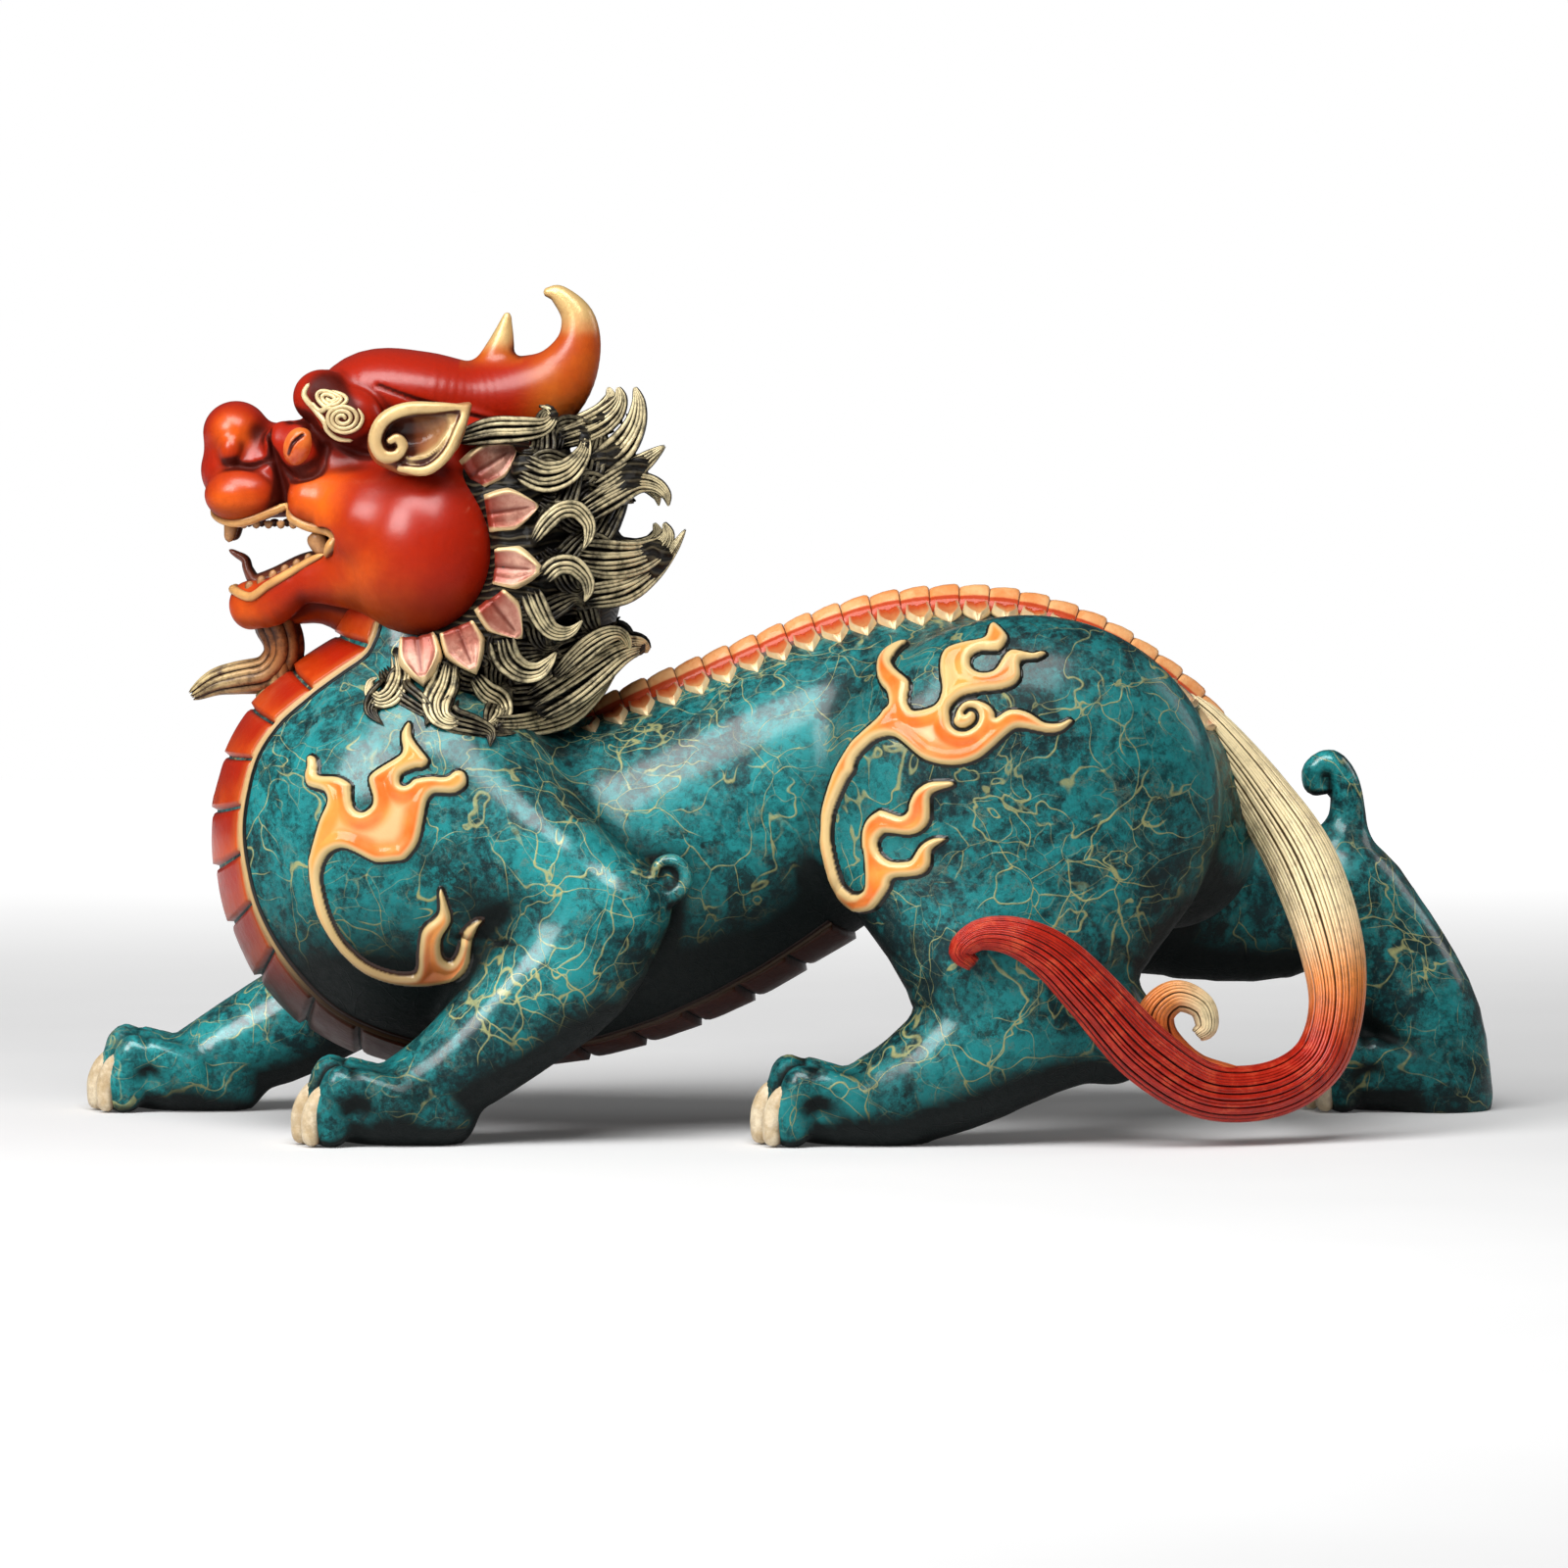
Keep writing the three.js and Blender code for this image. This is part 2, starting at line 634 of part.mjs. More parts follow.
// A lock of the mane, fluted into strands, lying on the mane's surface
function lock(stations, lift, thick, place) {
  const on = stations.map(([x, z, half], i) => {
    const taper = 1 - (0.6 * i) / (stations.length - 1);
    return [x, place ?? maneDepth(x, z, lift), z, half, thick * taper];
  });
  return limb(on, { sides: 4, steps: stations.length - 1 });
}

// The mane: locks curled close behind the cheeks, longer ones flagged out behind, and a row down the nape. The far
// side has fewer of them.
function mane() {
  const nape = [FLAGS[3], FLAGS[5]].map((stations) =>
    lock(stations.map(([x, z, half]) => [x - 2.5, z, half]), 0, 6, 0),
  );
  return [
    ball(MANE.x, 0, MANE.z, MANE.deep, MANE.wide, MANE.high, 10),
    ...nape,
    ...CURLS.map((stations) => lock(stations, 0, 5)),
    ...CURLS.filter((_, i) => i % 2 === 1).map((stations) => mirrored(lock(stations, 0, 5))),
    ...FLAGS.map((stations) => lock(stations, -4, 5)),
    ...FLAGS.slice(0, -1).map((stations) => mirrored(lock(stations, -4, 5))),
  ];
}

// The tail leaves the rump, swings round the near flank, and ends in two curls
function tail() {
  const sweep = [
    [100, 0, 107, 5.6, 8],
    [107, -3, 100.5, 6.6, 8],
    [119.3, -9, 85, 8.4, 8],
    [129.5, -18, 68.5, 9.8, 8],
    [136, -28, 49, 9, 8],
    [137, -36, 33, 7.4, 8],
    [131.8, -42, 20, 7.2, 8],
    [119.5, -48, 13, 7.4, 8],
    [103, -54, 13.5, 7.8, 8],
    [88, -60, 23.7, 8.6, 7],
    [75, -64, 38, 8, 6],
    [65, -65, 48, 7, 5.4],
    [55.5, -65, 53, 5.6, 5],
    [47, -65, 53.5, 4.4, 4.4],
    [42, -65, 49.5, 3.4, 3.6],
    [45.5, -65, 46, 2.4, 3],
  ];
  const curl = [
    [111, -51, 13, 6.6, 6],
    [100, -52, 17, 6.6, 6],
    [92, -53, 25.5, 5.6, 5.6],
    [91, -53, 33, 4.8, 5],
    [96, -53, 37.3, 4.2, 4.6],
    [102, -53, 35, 3.6, 4.2],
    [103.5, -53, 30, 3, 3.6],
    [101, -53, 27.5, 2.2, 2.8],
  ];
  return [limb(sweep, { flutes: 5, steps: 17, groove: 0.14 }), limb(curl, { flutes: 3, steps: 7, groove: 0.14 })];
}

const ground = solid(new THREE.BoxGeometry(500, 300, 40)).translate([0, 0, -20]);

const statue = union([
  trunk(),
  ...flames(),
  ...foreLegs(),
  ...hindLegs(),
  ...tufts(),
  bellyPlates(),
  spineRidge(),
  ...mane(),
  ...pair(headHalf()),
  headMiddle(),
  ...tail(),
])
  .subtract(ground)
  .translate([-CENTRE.x, CENTRE.y, 0]);

// The statue as a three.js mesh, in its cast and patinated finish
function meshOf(form, name, material) {
  const made = form.getMesh();
  const geometry = new THREE.BufferGeometry();
  geometry.setAttribute("position", new THREE.BufferAttribute(made.vertProperties, 3));
  geometry.setIndex(new THREE.BufferAttribute(made.triVerts, 1));
  geometry.computeVertexNormals();
  const mesh = new THREE.Mesh(geometry, material);
  mesh.name = name;
  return mesh;
}

const patina = new THREE.MeshStandardMaterial({ color: 0x12545a, roughness: 0.3, metalness: 0.35 });
const group = new THREE.Group();
group.add(meshOf(statue, "pixiu_statue", patina));

export default group;
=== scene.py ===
"""A pixiu statue of cast and hand-painted copper alloy, seen from its left flank on a pale studio floor."""

import math

import bpy
import numpy as np
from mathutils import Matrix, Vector


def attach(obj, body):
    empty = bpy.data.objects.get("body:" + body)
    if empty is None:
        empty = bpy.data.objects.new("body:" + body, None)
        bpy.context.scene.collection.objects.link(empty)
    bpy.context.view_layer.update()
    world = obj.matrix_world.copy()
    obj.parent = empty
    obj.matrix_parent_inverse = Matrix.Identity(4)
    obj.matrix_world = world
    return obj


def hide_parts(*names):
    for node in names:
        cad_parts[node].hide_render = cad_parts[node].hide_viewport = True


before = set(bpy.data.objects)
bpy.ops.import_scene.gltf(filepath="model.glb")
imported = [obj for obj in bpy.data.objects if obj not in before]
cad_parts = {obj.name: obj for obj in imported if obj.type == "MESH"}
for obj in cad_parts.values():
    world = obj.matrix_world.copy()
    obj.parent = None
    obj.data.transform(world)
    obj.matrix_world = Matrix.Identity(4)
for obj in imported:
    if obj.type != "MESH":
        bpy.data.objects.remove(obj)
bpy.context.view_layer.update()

# The camera stands two metres off the flank, three degrees up, and sees 400 mm across. The forms below
# are laid out in millimetres about the beast's middle plane; SHIFT moves them to the frame, whose origin
# is under the belly.
SHIFT = np.array([0.2, 4.45, 0.0])
AIM = np.array([-1.6, 0.0, 87.4])
DISTANCE = 2000
RISE = math.radians(3)


def place(points):
    return (np.asarray(points, float) + SHIFT) / 1000


bpy.context.scene.view_settings.view_transform = "Standard"


camera = bpy.data.objects.new("camera", bpy.data.cameras.new("camera"))
camera.data.lens = 180
camera.data.sensor_width = 36
camera.location = place(AIM + DISTANCE * np.array([0, -math.cos(RISE), math.sin(RISE)]))
camera.rotation_euler = (math.pi / 2 - RISE, 0, 0)
bpy.context.collection.objects.link(camera)
bpy.context.scene.camera = camera


# Soft boxes: a broad one overhead towards the viewer, a tall one at the head's side, and a weak one
# behind the tail, in a white room, over a white floor.
def softbox(name, at, size, power):
    lamp = bpy.data.objects.new(name, bpy.data.lights.new(name, "AREA"))
    lamp.data.shape = "RECTANGLE"
    lamp.data.size, lamp.data.size_y = size
    lamp.data.energy = power
    lamp.location = at
    lamp.rotation_euler = (Vector((0, 0, 0.08)) - Vector(at)).to_track_quat("-Z", "Y").to_euler()
    bpy.context.collection.objects.link(lamp)


softbox("light_top", (-0.15, -0.5, 1.0), (1.0, 0.5), 12.5)
softbox("light_head", (-0.85, -0.8, 0.8), (0.6, 0.6), 12)
softbox("light_tail", (0.95, 0.3, 0.6), (0.4, 0.5), 1.5)

world = bpy.data.worlds.new("room")
bpy.context.scene.world = world
world.use_nodes = True
room = world.node_tree
seen = room.nodes.new("ShaderNodeLightPath").outputs["Is Camera Ray"]
strength = room.nodes.new("ShaderNodeMapRange")
room.links.new(seen, strength.inputs["Value"])
strength.inputs["To Min"].default_value = 0.06
strength.inputs["To Max"].default_value = 1.0
room.nodes["Background"].inputs["Color"].default_value = (1, 1, 1, 1)
room.links.new(strength.outputs["Result"], room.nodes["Background"].inputs["Strength"])

# The floor is a wide flat sheet that ends in the white behind the statue.
floor_mesh = bpy.data.meshes.new("floor")
floor_mesh.from_pydata([(-6, -4, 0), (6, -4, 0), (6, 1.7, 0), (-6, 1.7, 0)], [], [(0, 1, 2, 3)])
floor_mesh.shade_smooth()
floor = bpy.data.objects.new("floor", floor_mesh)
bpy.context.collection.objects.link(floor)


class Wire:
    """A shader node's output, which takes part in sums. Without a socket it starts a node tree."""

    def __init__(self, tree, socket=None):
        self.tree, self.socket = tree, socket

    def node(self, kind, inputs=(), output=0, **settings):
        made = self.tree.nodes.new(kind)
        for key, value in settings.items():
            setattr(made, key, value)
        for key, value in dict(inputs).items():
            if isinstance(value, Wire):
                self.tree.links.new(value.socket, made.inputs[key])
            else:
                made.inputs[key].default_value = value
        return Wire(self.tree, made.outputs[output]) if made.outputs else None

    def maths(self, operation, *values):
        return self.node("ShaderNodeMath", dict(enumerate(values)), operation=operation)

    def __add__(self, other):
        return self.maths("ADD", self, other)

    def __sub__(self, other):
        return self.maths("SUBTRACT", self, other)

    def __rsub__(self, other):
        return self.maths("SUBTRACT", other, self)

    def __mul__(self, other):
        return self.maths("MULTIPLY", self, other)

    __radd__, __rmul__ = __add__, __mul__

    def ramp(self, low, high, first=0.0, last=1.0):
        ends = {"Value": self, "From Min": low, "From Max": high, "To Min": first, "To Max": last}
        return self.node("ShaderNodeMapRange", ends, interpolation_type="SMOOTHSTEP")

    def mix(self, first, last):
        """The colour first where this is 0 and last where it is 1."""
        first, last = ((*c, 1) if isinstance(c, tuple) else c for c in (first, last))
        return self.node("ShaderNodeMix", {0: self, 6: first, 7: last}, output=2, data_type="RGBA")

    def kept(self, name):
        """What the mesh keeps at each point under that name."""
        return self.node("ShaderNodeAttribute", output="Fac", attribute_name=name)

    def noise(self, scale, detail=4.0, rough=0.6, at=None):
        at = at or self.node("ShaderNodeTexCoord", output="Object")
        return self.node(
            "ShaderNodeTexNoise", {"Vector": at, "Scale": scale, "Detail": detail, "Roughness": rough}
        )


def finish(name, paint):
    """A material from paint(start), a dict of socket names to values and of bump to (height, mm)."""
    material = bpy.data.materials.new(name)
    material.use_nodes = True
    start = Wire(material.node_tree)
    shader = material.node_tree.nodes["Principled BSDF"]
    sockets = {"Specular IOR Level": 0.2, **paint(start)}
    bump = sockets.pop("bump", None)
    if bump:
        height, depth = bump
        settings = {"Height": height, "Distance": depth / 1000, "Strength": 1.0}
        sockets["Normal"] = start.node("ShaderNodeBump", settings)
    for key, value in sockets.items():
        if isinstance(value, Wire):
            material.node_tree.links.new(value.socket, shader.inputs[key])
        else:
            shader.inputs[key].default_value = (*value, 1) if isinstance(value, tuple) else value
    return material


# Behind the statue the floor glows with its own emission, up to the white of the room.
def studio(s):
    far = s.node(
        "ShaderNodeSeparateXYZ", {"Vector": s.node("ShaderNodeTexCoord", output="Object")}, output="Y"
    )
    glow = far.ramp(0.1, 1.3).mix((0.05, 0.05, 0.05), (0.95, 0.95, 0.95))
    grain = s.noise(9, 2).ramp(0, 1, 0.7, 0.74)
    return {"Base Color": grain, "Roughness": 0.9, "Emission Color": glow, "Emission Strength": 1.0}


floor.data.materials.append(finish("floor_white", studio))


# The body is one hollow casting: neck, chest, barrel, haunches, legs and paws run into one another. It is
# modelled as clay, a field of rounded limbs melted together, and skinned where the field is zero.
def smooth(stations, steps):
    """Stations resampled along a Catmull-Rom curve."""
    s = np.asarray(stations, float)
    s = np.vstack([2 * s[0] - s[1], s, 2 * s[-1] - s[-2]])
    u = np.linspace(0, len(s) - 3, steps + 1)
    i = np.minimum(u.astype(int), len(s) - 4)
    t = (u - i)[:, None]
    a, b, c, d = s[i], s[i + 1], s[i + 2], s[i + 3]
    return b + 0.5 * t * (c - a + t * (2 * a - 5 * b + 4 * c - d + t * (3 * (b - c) + d - a)))


class Clay:
    """Forms melted together, each a distance to points, the box it lies in, its melt, and whether it cuts."""

    def __init__(self):
        self.forms = []

    def limb(self, stations, steps=None, melt=3.0, cut=False):
        """A limb through stations [x, y, z, half depth in the side plane, half width]."""
        s = smooth(stations, steps or 3 * (len(stations) - 1))
        reach = s[:, 3:5].max()
        box = s[:, :3].min(0) - reach, s[:, :3].max(0) + reach

        def distance(p):
            best = np.full(len(p), 1e9, np.float32)
            for a, b in zip(s[:-1], s[1:]):
                line = b[:3] - a[:3]
                length = np.linalg.norm(line)
                along = line / length
                side = np.array((0, 1, 0)) - along[1] * along
                side /= np.linalg.norm(side)
                v = p - a[:3]
                x, y, z = v @ side, v @ np.cross(along, side), v @ along
                taper = np.clip((min(a[3:5]) - min(b[3:5])) / length, -0.8, 0.8)
                lean = taper / math.sqrt(1 - taper * taper)
                t = np.clip(z / length, 0, 1)
                for _ in range(2):
                    deep = a[3] + t * (b[3] - a[3])
                    wide = a[4] + t * (b[4] - a[4])
                    end = np.minimum(deep, wide)
                    out = np.sqrt((x / wide) ** 2 + (y / deep) ** 2) * end
                    t = np.clip((z - lean * out) / length, 0, 1)
                x, y, z = x / wide, y / deep, (z - t * length) / end
                k = x * x + y * y + z * z
                slope = np.sqrt((x / wide) ** 2 + (y / deep) ** 2 + (z / end) ** 2) + 1e-6
                np.minimum(best, (k - np.sqrt(k)) / slope, out=best)
            return best

        self.forms.append((distance, box, melt, cut))

    def ball(self, at, radii, melt=3.0, cut=False, tilt=0.0):
        """An ellipsoid, tilted in the side plane by an angle in degrees."""
        at, radii = np.asarray(at, float), np.asarray(radii, float)
        reach = radii.max()
        c, s = math.cos(math.radians(tilt)), math.sin(math.radians(tilt))
        turn = np.array([[c, 0, -s], [0, 1, 0], [s, 0, c]])

        def distance(p):
            v = ((p - at) @ turn) / radii
            k = (v * v).sum(1)
            return (k - np.sqrt(k)) / (np.sqrt(((v / radii) ** 2).sum(1)) + 1e-6)

        self.forms.append((distance, (at - reach, at + reach), melt, cut))

    def both(self, kind, *args, **options):
        """The form and its twin across the middle plane."""
        getattr(self, kind)(*args, **options)
        start, where = self.forms[-1][0], self.forms[-1][1]
        low, high = where
        twin = (low * [1, 0, 1] - high * [0, 1, 0], high * [1, 0, 1] - low * [0, 1, 0])
        self.forms.append((lambda p: start(p * [1, -1, 1]), twin, *self.forms[-1][2:]))

    def field(self, p, near=9.0):
        """The distance from the melted surface, where it is less than near."""
        p = np.asarray(p, float)
        f = np.full(len(p), near)
        for distance, (low, high), melt, cut in self.forms:
            margin = 1.5 * melt + (0 if cut else near)
            there = np.all((p > low - margin) & (p < high + margin), 1)
            if not there.any():
                continue
            d = distance(p[there])
            g = f[there]
            if cut:
                h = np.maximum(melt - abs(g + d), 0) / melt
                f[there] = np.maximum(g, -d) + h * h * melt / 4
            else:
                h = np.maximum(melt - abs(g - d), 0) / melt
                f[there] = np.minimum(g, d) - h * h * melt / 4
        return f

    def slope(self, p, step=0.2):
        f = self.field(p)
        return f, np.stack([(self.field(p + e) - f) / step for e in np.eye(3) * step], 1)

    def settle(self, p, lift=0.0):
        """The points brought to stand that far off the surface, each along the way the field climbs."""
        p = np.array(p, float)
        for _ in range(6):
            f, g = self.slope(p)
            p -= ((f - lift) / np.maximum((g * g).sum(1), 0.3))[:, None] * g
        return p

    def flank(self, x, z, start=-80.0, side=-1):
        """How far out one flank stands over points of the side plane, or nan where it is missed."""
        y = np.full(len(x), abs(start))
        for _ in range(45):
            y -= 0.9 * self.field(np.column_stack([x, side * y, z]))
        hit = abs(self.field(np.column_stack([x, side * y, z]))) < 0.3
        return np.where(hit & (y > 0), side * y, np.nan)

    def press(self, line, melt=1.5, wide=2.2):
        """A furrow along a line of [x, y, z, depth] that is brought to the surface, and its twin."""
        line = np.asarray(line, float)
        at = self.settle(line[:, :3])
        stations = np.column_stack([at, line[:, 3], wide * line[:, 3]])
        self.both("limb", stations, melt=melt, cut=True)

    def skin(self, low, high, step):
        """(points, quads) where the field is zero, by surface nets on a grid fine near the surface."""
        low, rough = np.asarray(low, float), 4 * step
        count = np.ceil((np.asarray(high, float) - low) / rough).astype(int) + 1
        nodes = np.indices(count).reshape(3, -1).T
        coarse = self.field(low + nodes * rough, near=3 * rough).reshape(count)
        fine = np.repeat(np.repeat(np.repeat(coarse, 4, 0), 4, 1), 4, 2)
        band = np.argwhere(abs(fine) < 1.9 * rough)
        fine[tuple(band.T)] = self.field(low + (band - 2) * step)
        low = low - 2 * step
        inside = fine < 0
        corners = [(i, j, k) for i in (0, 1) for j in (0, 1) for k in (0, 1)]
        size = np.array(fine.shape) - 1
        total = sum(
            inside[i : i + size[0], j : j + size[1], k : k + size[2]].astype(np.int8) for i, j, k in corners
        )
        cells = np.argwhere((total > 0) & (total < 8))
        number = np.full(size, -1)
        number[tuple(cells.T)] = np.arange(len(cells))
        f = np.stack([fine[tuple((cells + c).T)] for c in corners], 1)
        at, hits = np.zeros((len(cells), 3)), np.zeros(len(cells))
        for m in range(8):
            for bit in (1, 2, 4):
                n = m | bit
                if n == m:
                    continue
                crossed = (f[:, m] < 0) != (f[:, n] < 0)
                t = (f[crossed, m] / (f[crossed, m] - f[crossed, n]))[:, None]
                a, b = np.array(corners[m]), np.array(corners[n])
                at[crossed] += a + t * (b - a)
                hits[crossed] += 1
        points = low + (cells + at / hits[:, None]) * step
        quads = []
        for axis in range(3):
            one, two = (axis + 1) % 3, (axis + 2) % 3
            near = [slice(None)] * 3
            far = [slice(None)] * 3
            near[axis], far[axis] = slice(0, -1), slice(1, None)
            edge = np.argwhere(inside[tuple(near)] != inside[tuple(far)])
            edge = edge[(edge[:, one] > 0) & (edge[:, two] > 0)]
            edge = edge[(edge[:, one] < size[one]) & (edge[:, two] < size[two])]
            ring = []
            for p, q in ((0, 0), (1, 0), (1, 1), (0, 1)):
                cell = edge.copy()
                cell[:, one] -= p
                cell[:, two] -= q
                ring.append(number[tuple(cell.T)])
            quad = np.stack(ring, 1)
            out = inside[tuple(edge.T)]
            quad[~out] = quad[~out][:, ::-1]
            quads.append(quad)
        quads = np.vstack(quads)
        quads = quads[(quads >= 0).all(1)]
        for _ in range(2):
            f, g = self.slope(points)
            points -= np.clip(f / np.maximum((g * g).sum(1), 0.2), -step, step)[:, None] * g
        return points, quads


def piece(name, points, faces, material, **kept):
    """A mesh through points in millimetres, as a piece of the statue that keeps a value at each point."""
    mesh = bpy.data.meshes.new(name)
    faces = np.asarray(faces)
    corners = faces.shape[1]
    mesh.vertices.add(len(points))
    mesh.vertices.foreach_set("co", place(points).astype(np.float32).ravel())
    mesh.loops.add(faces.size)
    mesh.loops.foreach_set("vertex_index", faces.astype(np.int32).ravel())
    mesh.polygons.add(len(faces))
    mesh.polygons.foreach_set("loop_start", np.arange(0, faces.size, corners, dtype=np.int32))
    mesh.update(calc_edges=True)
    mesh.validate()
    mesh.shade_smooth()
    for key, values in kept.items():
        layer = mesh.attributes.new(key, "FLOAT", "POINT")
        layer.data.foreach_set("value", np.asarray(values, np.float32))
    mesh.materials.append(material)
    made = bpy.data.objects.new(name, mesh)
    bpy.context.collection.objects.link(made)
    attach(made, "root")
    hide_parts("pixiu_statue")
    return made


def sunk(clay, points, reach=2.5):
    """How deep in a hollow each point of the skin is: 0 in the open, 1 at the bottom of a groove."""
    f, g = clay.slope(points)
    out = g / np.maximum(np.linalg.norm(g, axis=1), 1e-6)[:, None]
    return np.clip(1 - clay.field(points + out * reach) / reach, -0.4, 1)


body = Clay()
NECK = [
    [-90, 0, 150, 22, 24],
    [-92, 0, 134, 22, 25],
    [-92.5, 0, 121, 22.5, 27],
    [-96, 0, 108, 24, 33],
    [-100, 0, 96, 32, 39],
    [-103, 0, 87, 37.5, 42],
    [-101.5, 0, 78, 44.5, 44],
    [-94, 0, 66, 46.5, 46],
]
BARREL = [
    [-96, 0, 66, 45, 45],
    [-80, 0, 61, 44.5, 45],
    [-58, 0, 60.5, 42.5, 44],
    [-31.5, 0, 68, 40.8, 40],
    [-9, 0, 79, 38.5, 37.5],
    [13.5, 0, 90.3, 36.5, 36],
    [38.5, 0, 96, 36, 38],
    [63.5, 0, 94, 35.6, 39],
    [83.5, 0, 85.5, 30.8, 34],
    [96, 0, 73.5, 23, 27],
]
body.limb(NECK, melt=8)
body.limb(BARREL, steps=22, melt=10)
body.both("ball", (-90, -29, 76), (32, 21.5, 36), melt=12)
body.both("ball", (60, -33, 85.5), (47, 24.5, 45.5), melt=12)
LEGS = {
    "near shoulder": (8, [
        [-90, -30, 84, 22, 17], [-66, -42, 71, 17, 14], [-47, -47, 60, 13, 11], [-39, -48, 60.5, 8, 8],
    ]),
    "far shoulder": (8, [
        [-92, 30, 82, 22, 17], [-72, 42, 69, 18, 15], [-56, 47, 60, 14, 12], [-48, 49, 61, 8, 8],
    ]),
    "near foreleg": (7, [
        [-44, -46, 56, 12, 12.5], [-54.5, -46, 44.5, 17, 15.5], [-70, -46, 30, 14.6, 14.5],
        [-85, -46, 17.8, 12, 13.5], [-97, -46, 11.5, 9.8, 13],
    ]),
    "far foreleg": (7, [
        [-66, 46, 58, 17, 15], [-96.5, 46, 41, 16.5, 15.5], [-117, 46, 30, 15.2, 14.5],
        [-135, 46, 20.2, 14, 13.5], [-155, 46, 11.5, 10, 13],
    ]),
    "near thigh": (8, [
        [64, -36, 72, 36, 20], [57, -42, 48, 29, 18], [49, -45, 28, 18.5, 16],
        [33, -46, 15.8, 13.5, 14.5], [20, -46, 11, 9.8, 13.5],
    ]),
    "near flank fold": (9, [[20, -33, 75, 13, 9], [30, -38, 64, 14.5, 13], [44, -43, 49, 16, 15]]),
    "near foot": (6, [
        [82, -44, 28.5, 11, 10.5], [62, -45, 23.8, 12, 12.5], [43, -46, 15.8, 11.3, 13.5],
        [26, -46, 10.5, 10, 13.5],
    ]),
    "far thigh": (9, [
        [80, 34, 70, 33, 20], [105, 41, 56.5, 22.5, 15.5], [128, 44, 52.8, 18.4, 13.5],
        [146, 46, 56, 12.5, 12],
    ]),
    "far shin": (6, [
        [142, 46, 66, 8, 9], [148.5, 46, 54, 13.4, 12], [158, 46, 38, 15, 12.5],
        [165.6, 46, 22, 15.4, 13.5], [169.5, 46, 4, 14.2, 14.5],
    ]),
    "far sole": (5, [[170, 46, 9, 9, 14], [150, 46, 8, 8, 14]]),
}
for melt, stations in LEGS.values():
    body.limb(stations, melt=melt)

# A pleat is pressed into the clay in the elbow's bend.
body.press([[-83, -55, 50.6, 0.9], [-77, -56, 51.2, 0.8], [-70, -60, 52, 0.2]], 0.8, 1)


# Each paw has four toes bent over their knuckles, with a fold behind each knuckle.
TOES, TOE_APART = (-1.5, -0.5, 0.5, 1.5), 7.4


def toes(x, y, around):
    for place_on in TOES:
        tip = x + (3 if abs(place_on) > 1 else 0)
        toe = y + place_on * TOE_APART
        low = 1.5 if abs(place_on) > 1 else 0
        bent = [
            [tip + 24, toe, 12.5 - low, 5.5, 4.2], [tip + 15, toe, 16.4 - low, 4.6, 4.2],
            [tip + 9, toe, 17 - low, 4.9, 4.3],
        ]
        around.limb(bent, melt=2.2)
        around.limb(
            [
                [tip + 9.5, toe, 15.5 - low, 5, 4.2], [tip + 6.2, toe, 9.5, 4.4, 3.9],
                [tip + 7, toe, 3.5, 4.2, 3.6],
            ],
            melt=1.4,
        )
        around.limb(
            [
                [tip + 12.6, toe - 4, 20.2 - low, 0.35, 1], [tip + 12.2, toe, 21.9 - low, 0.5, 1],
                [tip + 12.6, toe + 4, 20.2 - low, 0.35, 1],
            ],
            melt=1.6,
            cut=True,
        )
    around.limb([[x + 13, y, 7, 6.5, 13], [x + 26, y, 8, 9.5, 14], [x + 36, y, 8, 10, 13]], melt=3)


PAWS = [(-124, -46), (-183, 46), (-9.5, -46), (134, 46)]
for x, y in PAWS:
    toes(x, y, body)

# Tufts of hair hook out of the elbows and the hocks.
TUFT = np.array([
    [-48, -49, 62, 6, 6],
    [-41, -50, 61.6, 4, 4.2],
    [-35, -50.5, 60.8, 2.8, 3.4],
    [-29.8, -50.5, 61.8, 2.2, 2.9],
    [-26.6, -50.5, 64.8, 2, 2.7],
    [-26.4, -50.5, 68.4, 1.9, 2.6],
    [-29, -50.5, 70.8, 1.8, 2.5],
    [-32.4, -50.5, 70.2, 1.6, 2.4],
    [-33.9, -50.5, 67.2, 1.4, 2.2],
    [-32.4, -50.5, 64.9, 1.2, 2],
    [-30, -50.5, 65.2, 1, 1.8],
    [-29.4, -50.5, 67, 0.8, 1.5],
])
body.limb(TUFT, steps=33, melt=1.6)
body.limb(TUFT * [1, -1, 1, 1, 1] + [-9.2, -1, 0.5, 0, 0], steps=33, melt=1.6)
body.ball((-30.2, -49.6, 66), (3.4, 2.2, 3.2), melt=0.6)
HOCK = np.array(
    [
        [144.5, 46, 66, 7, 6], [145.5, 46, 77, 4.8, 4.6], [144.5, 46, 85.5, 4, 4],
        [141, 46, 90.4, 3.6, 3.6], [136.8, 46, 88.6, 3.1, 3.2], [136.6, 46, 84.6, 2.5, 2.8],
        [139.6, 46, 84, 1.8, 2.2],
    ]
)
body.limb(HOCK, steps=20, melt=4)
body.ball((139.3, 46, 86.6), (2.4, 1.6, 2.4), melt=0.6)
body.limb(HOCK - [64, 92, 45, 0, 0], steps=20, melt=4)
body.limb([[-230, 0, -30.2, 30, 90], [230, 0, -30.2, 30, 90]], steps=1, melt=0.8, cut=True)
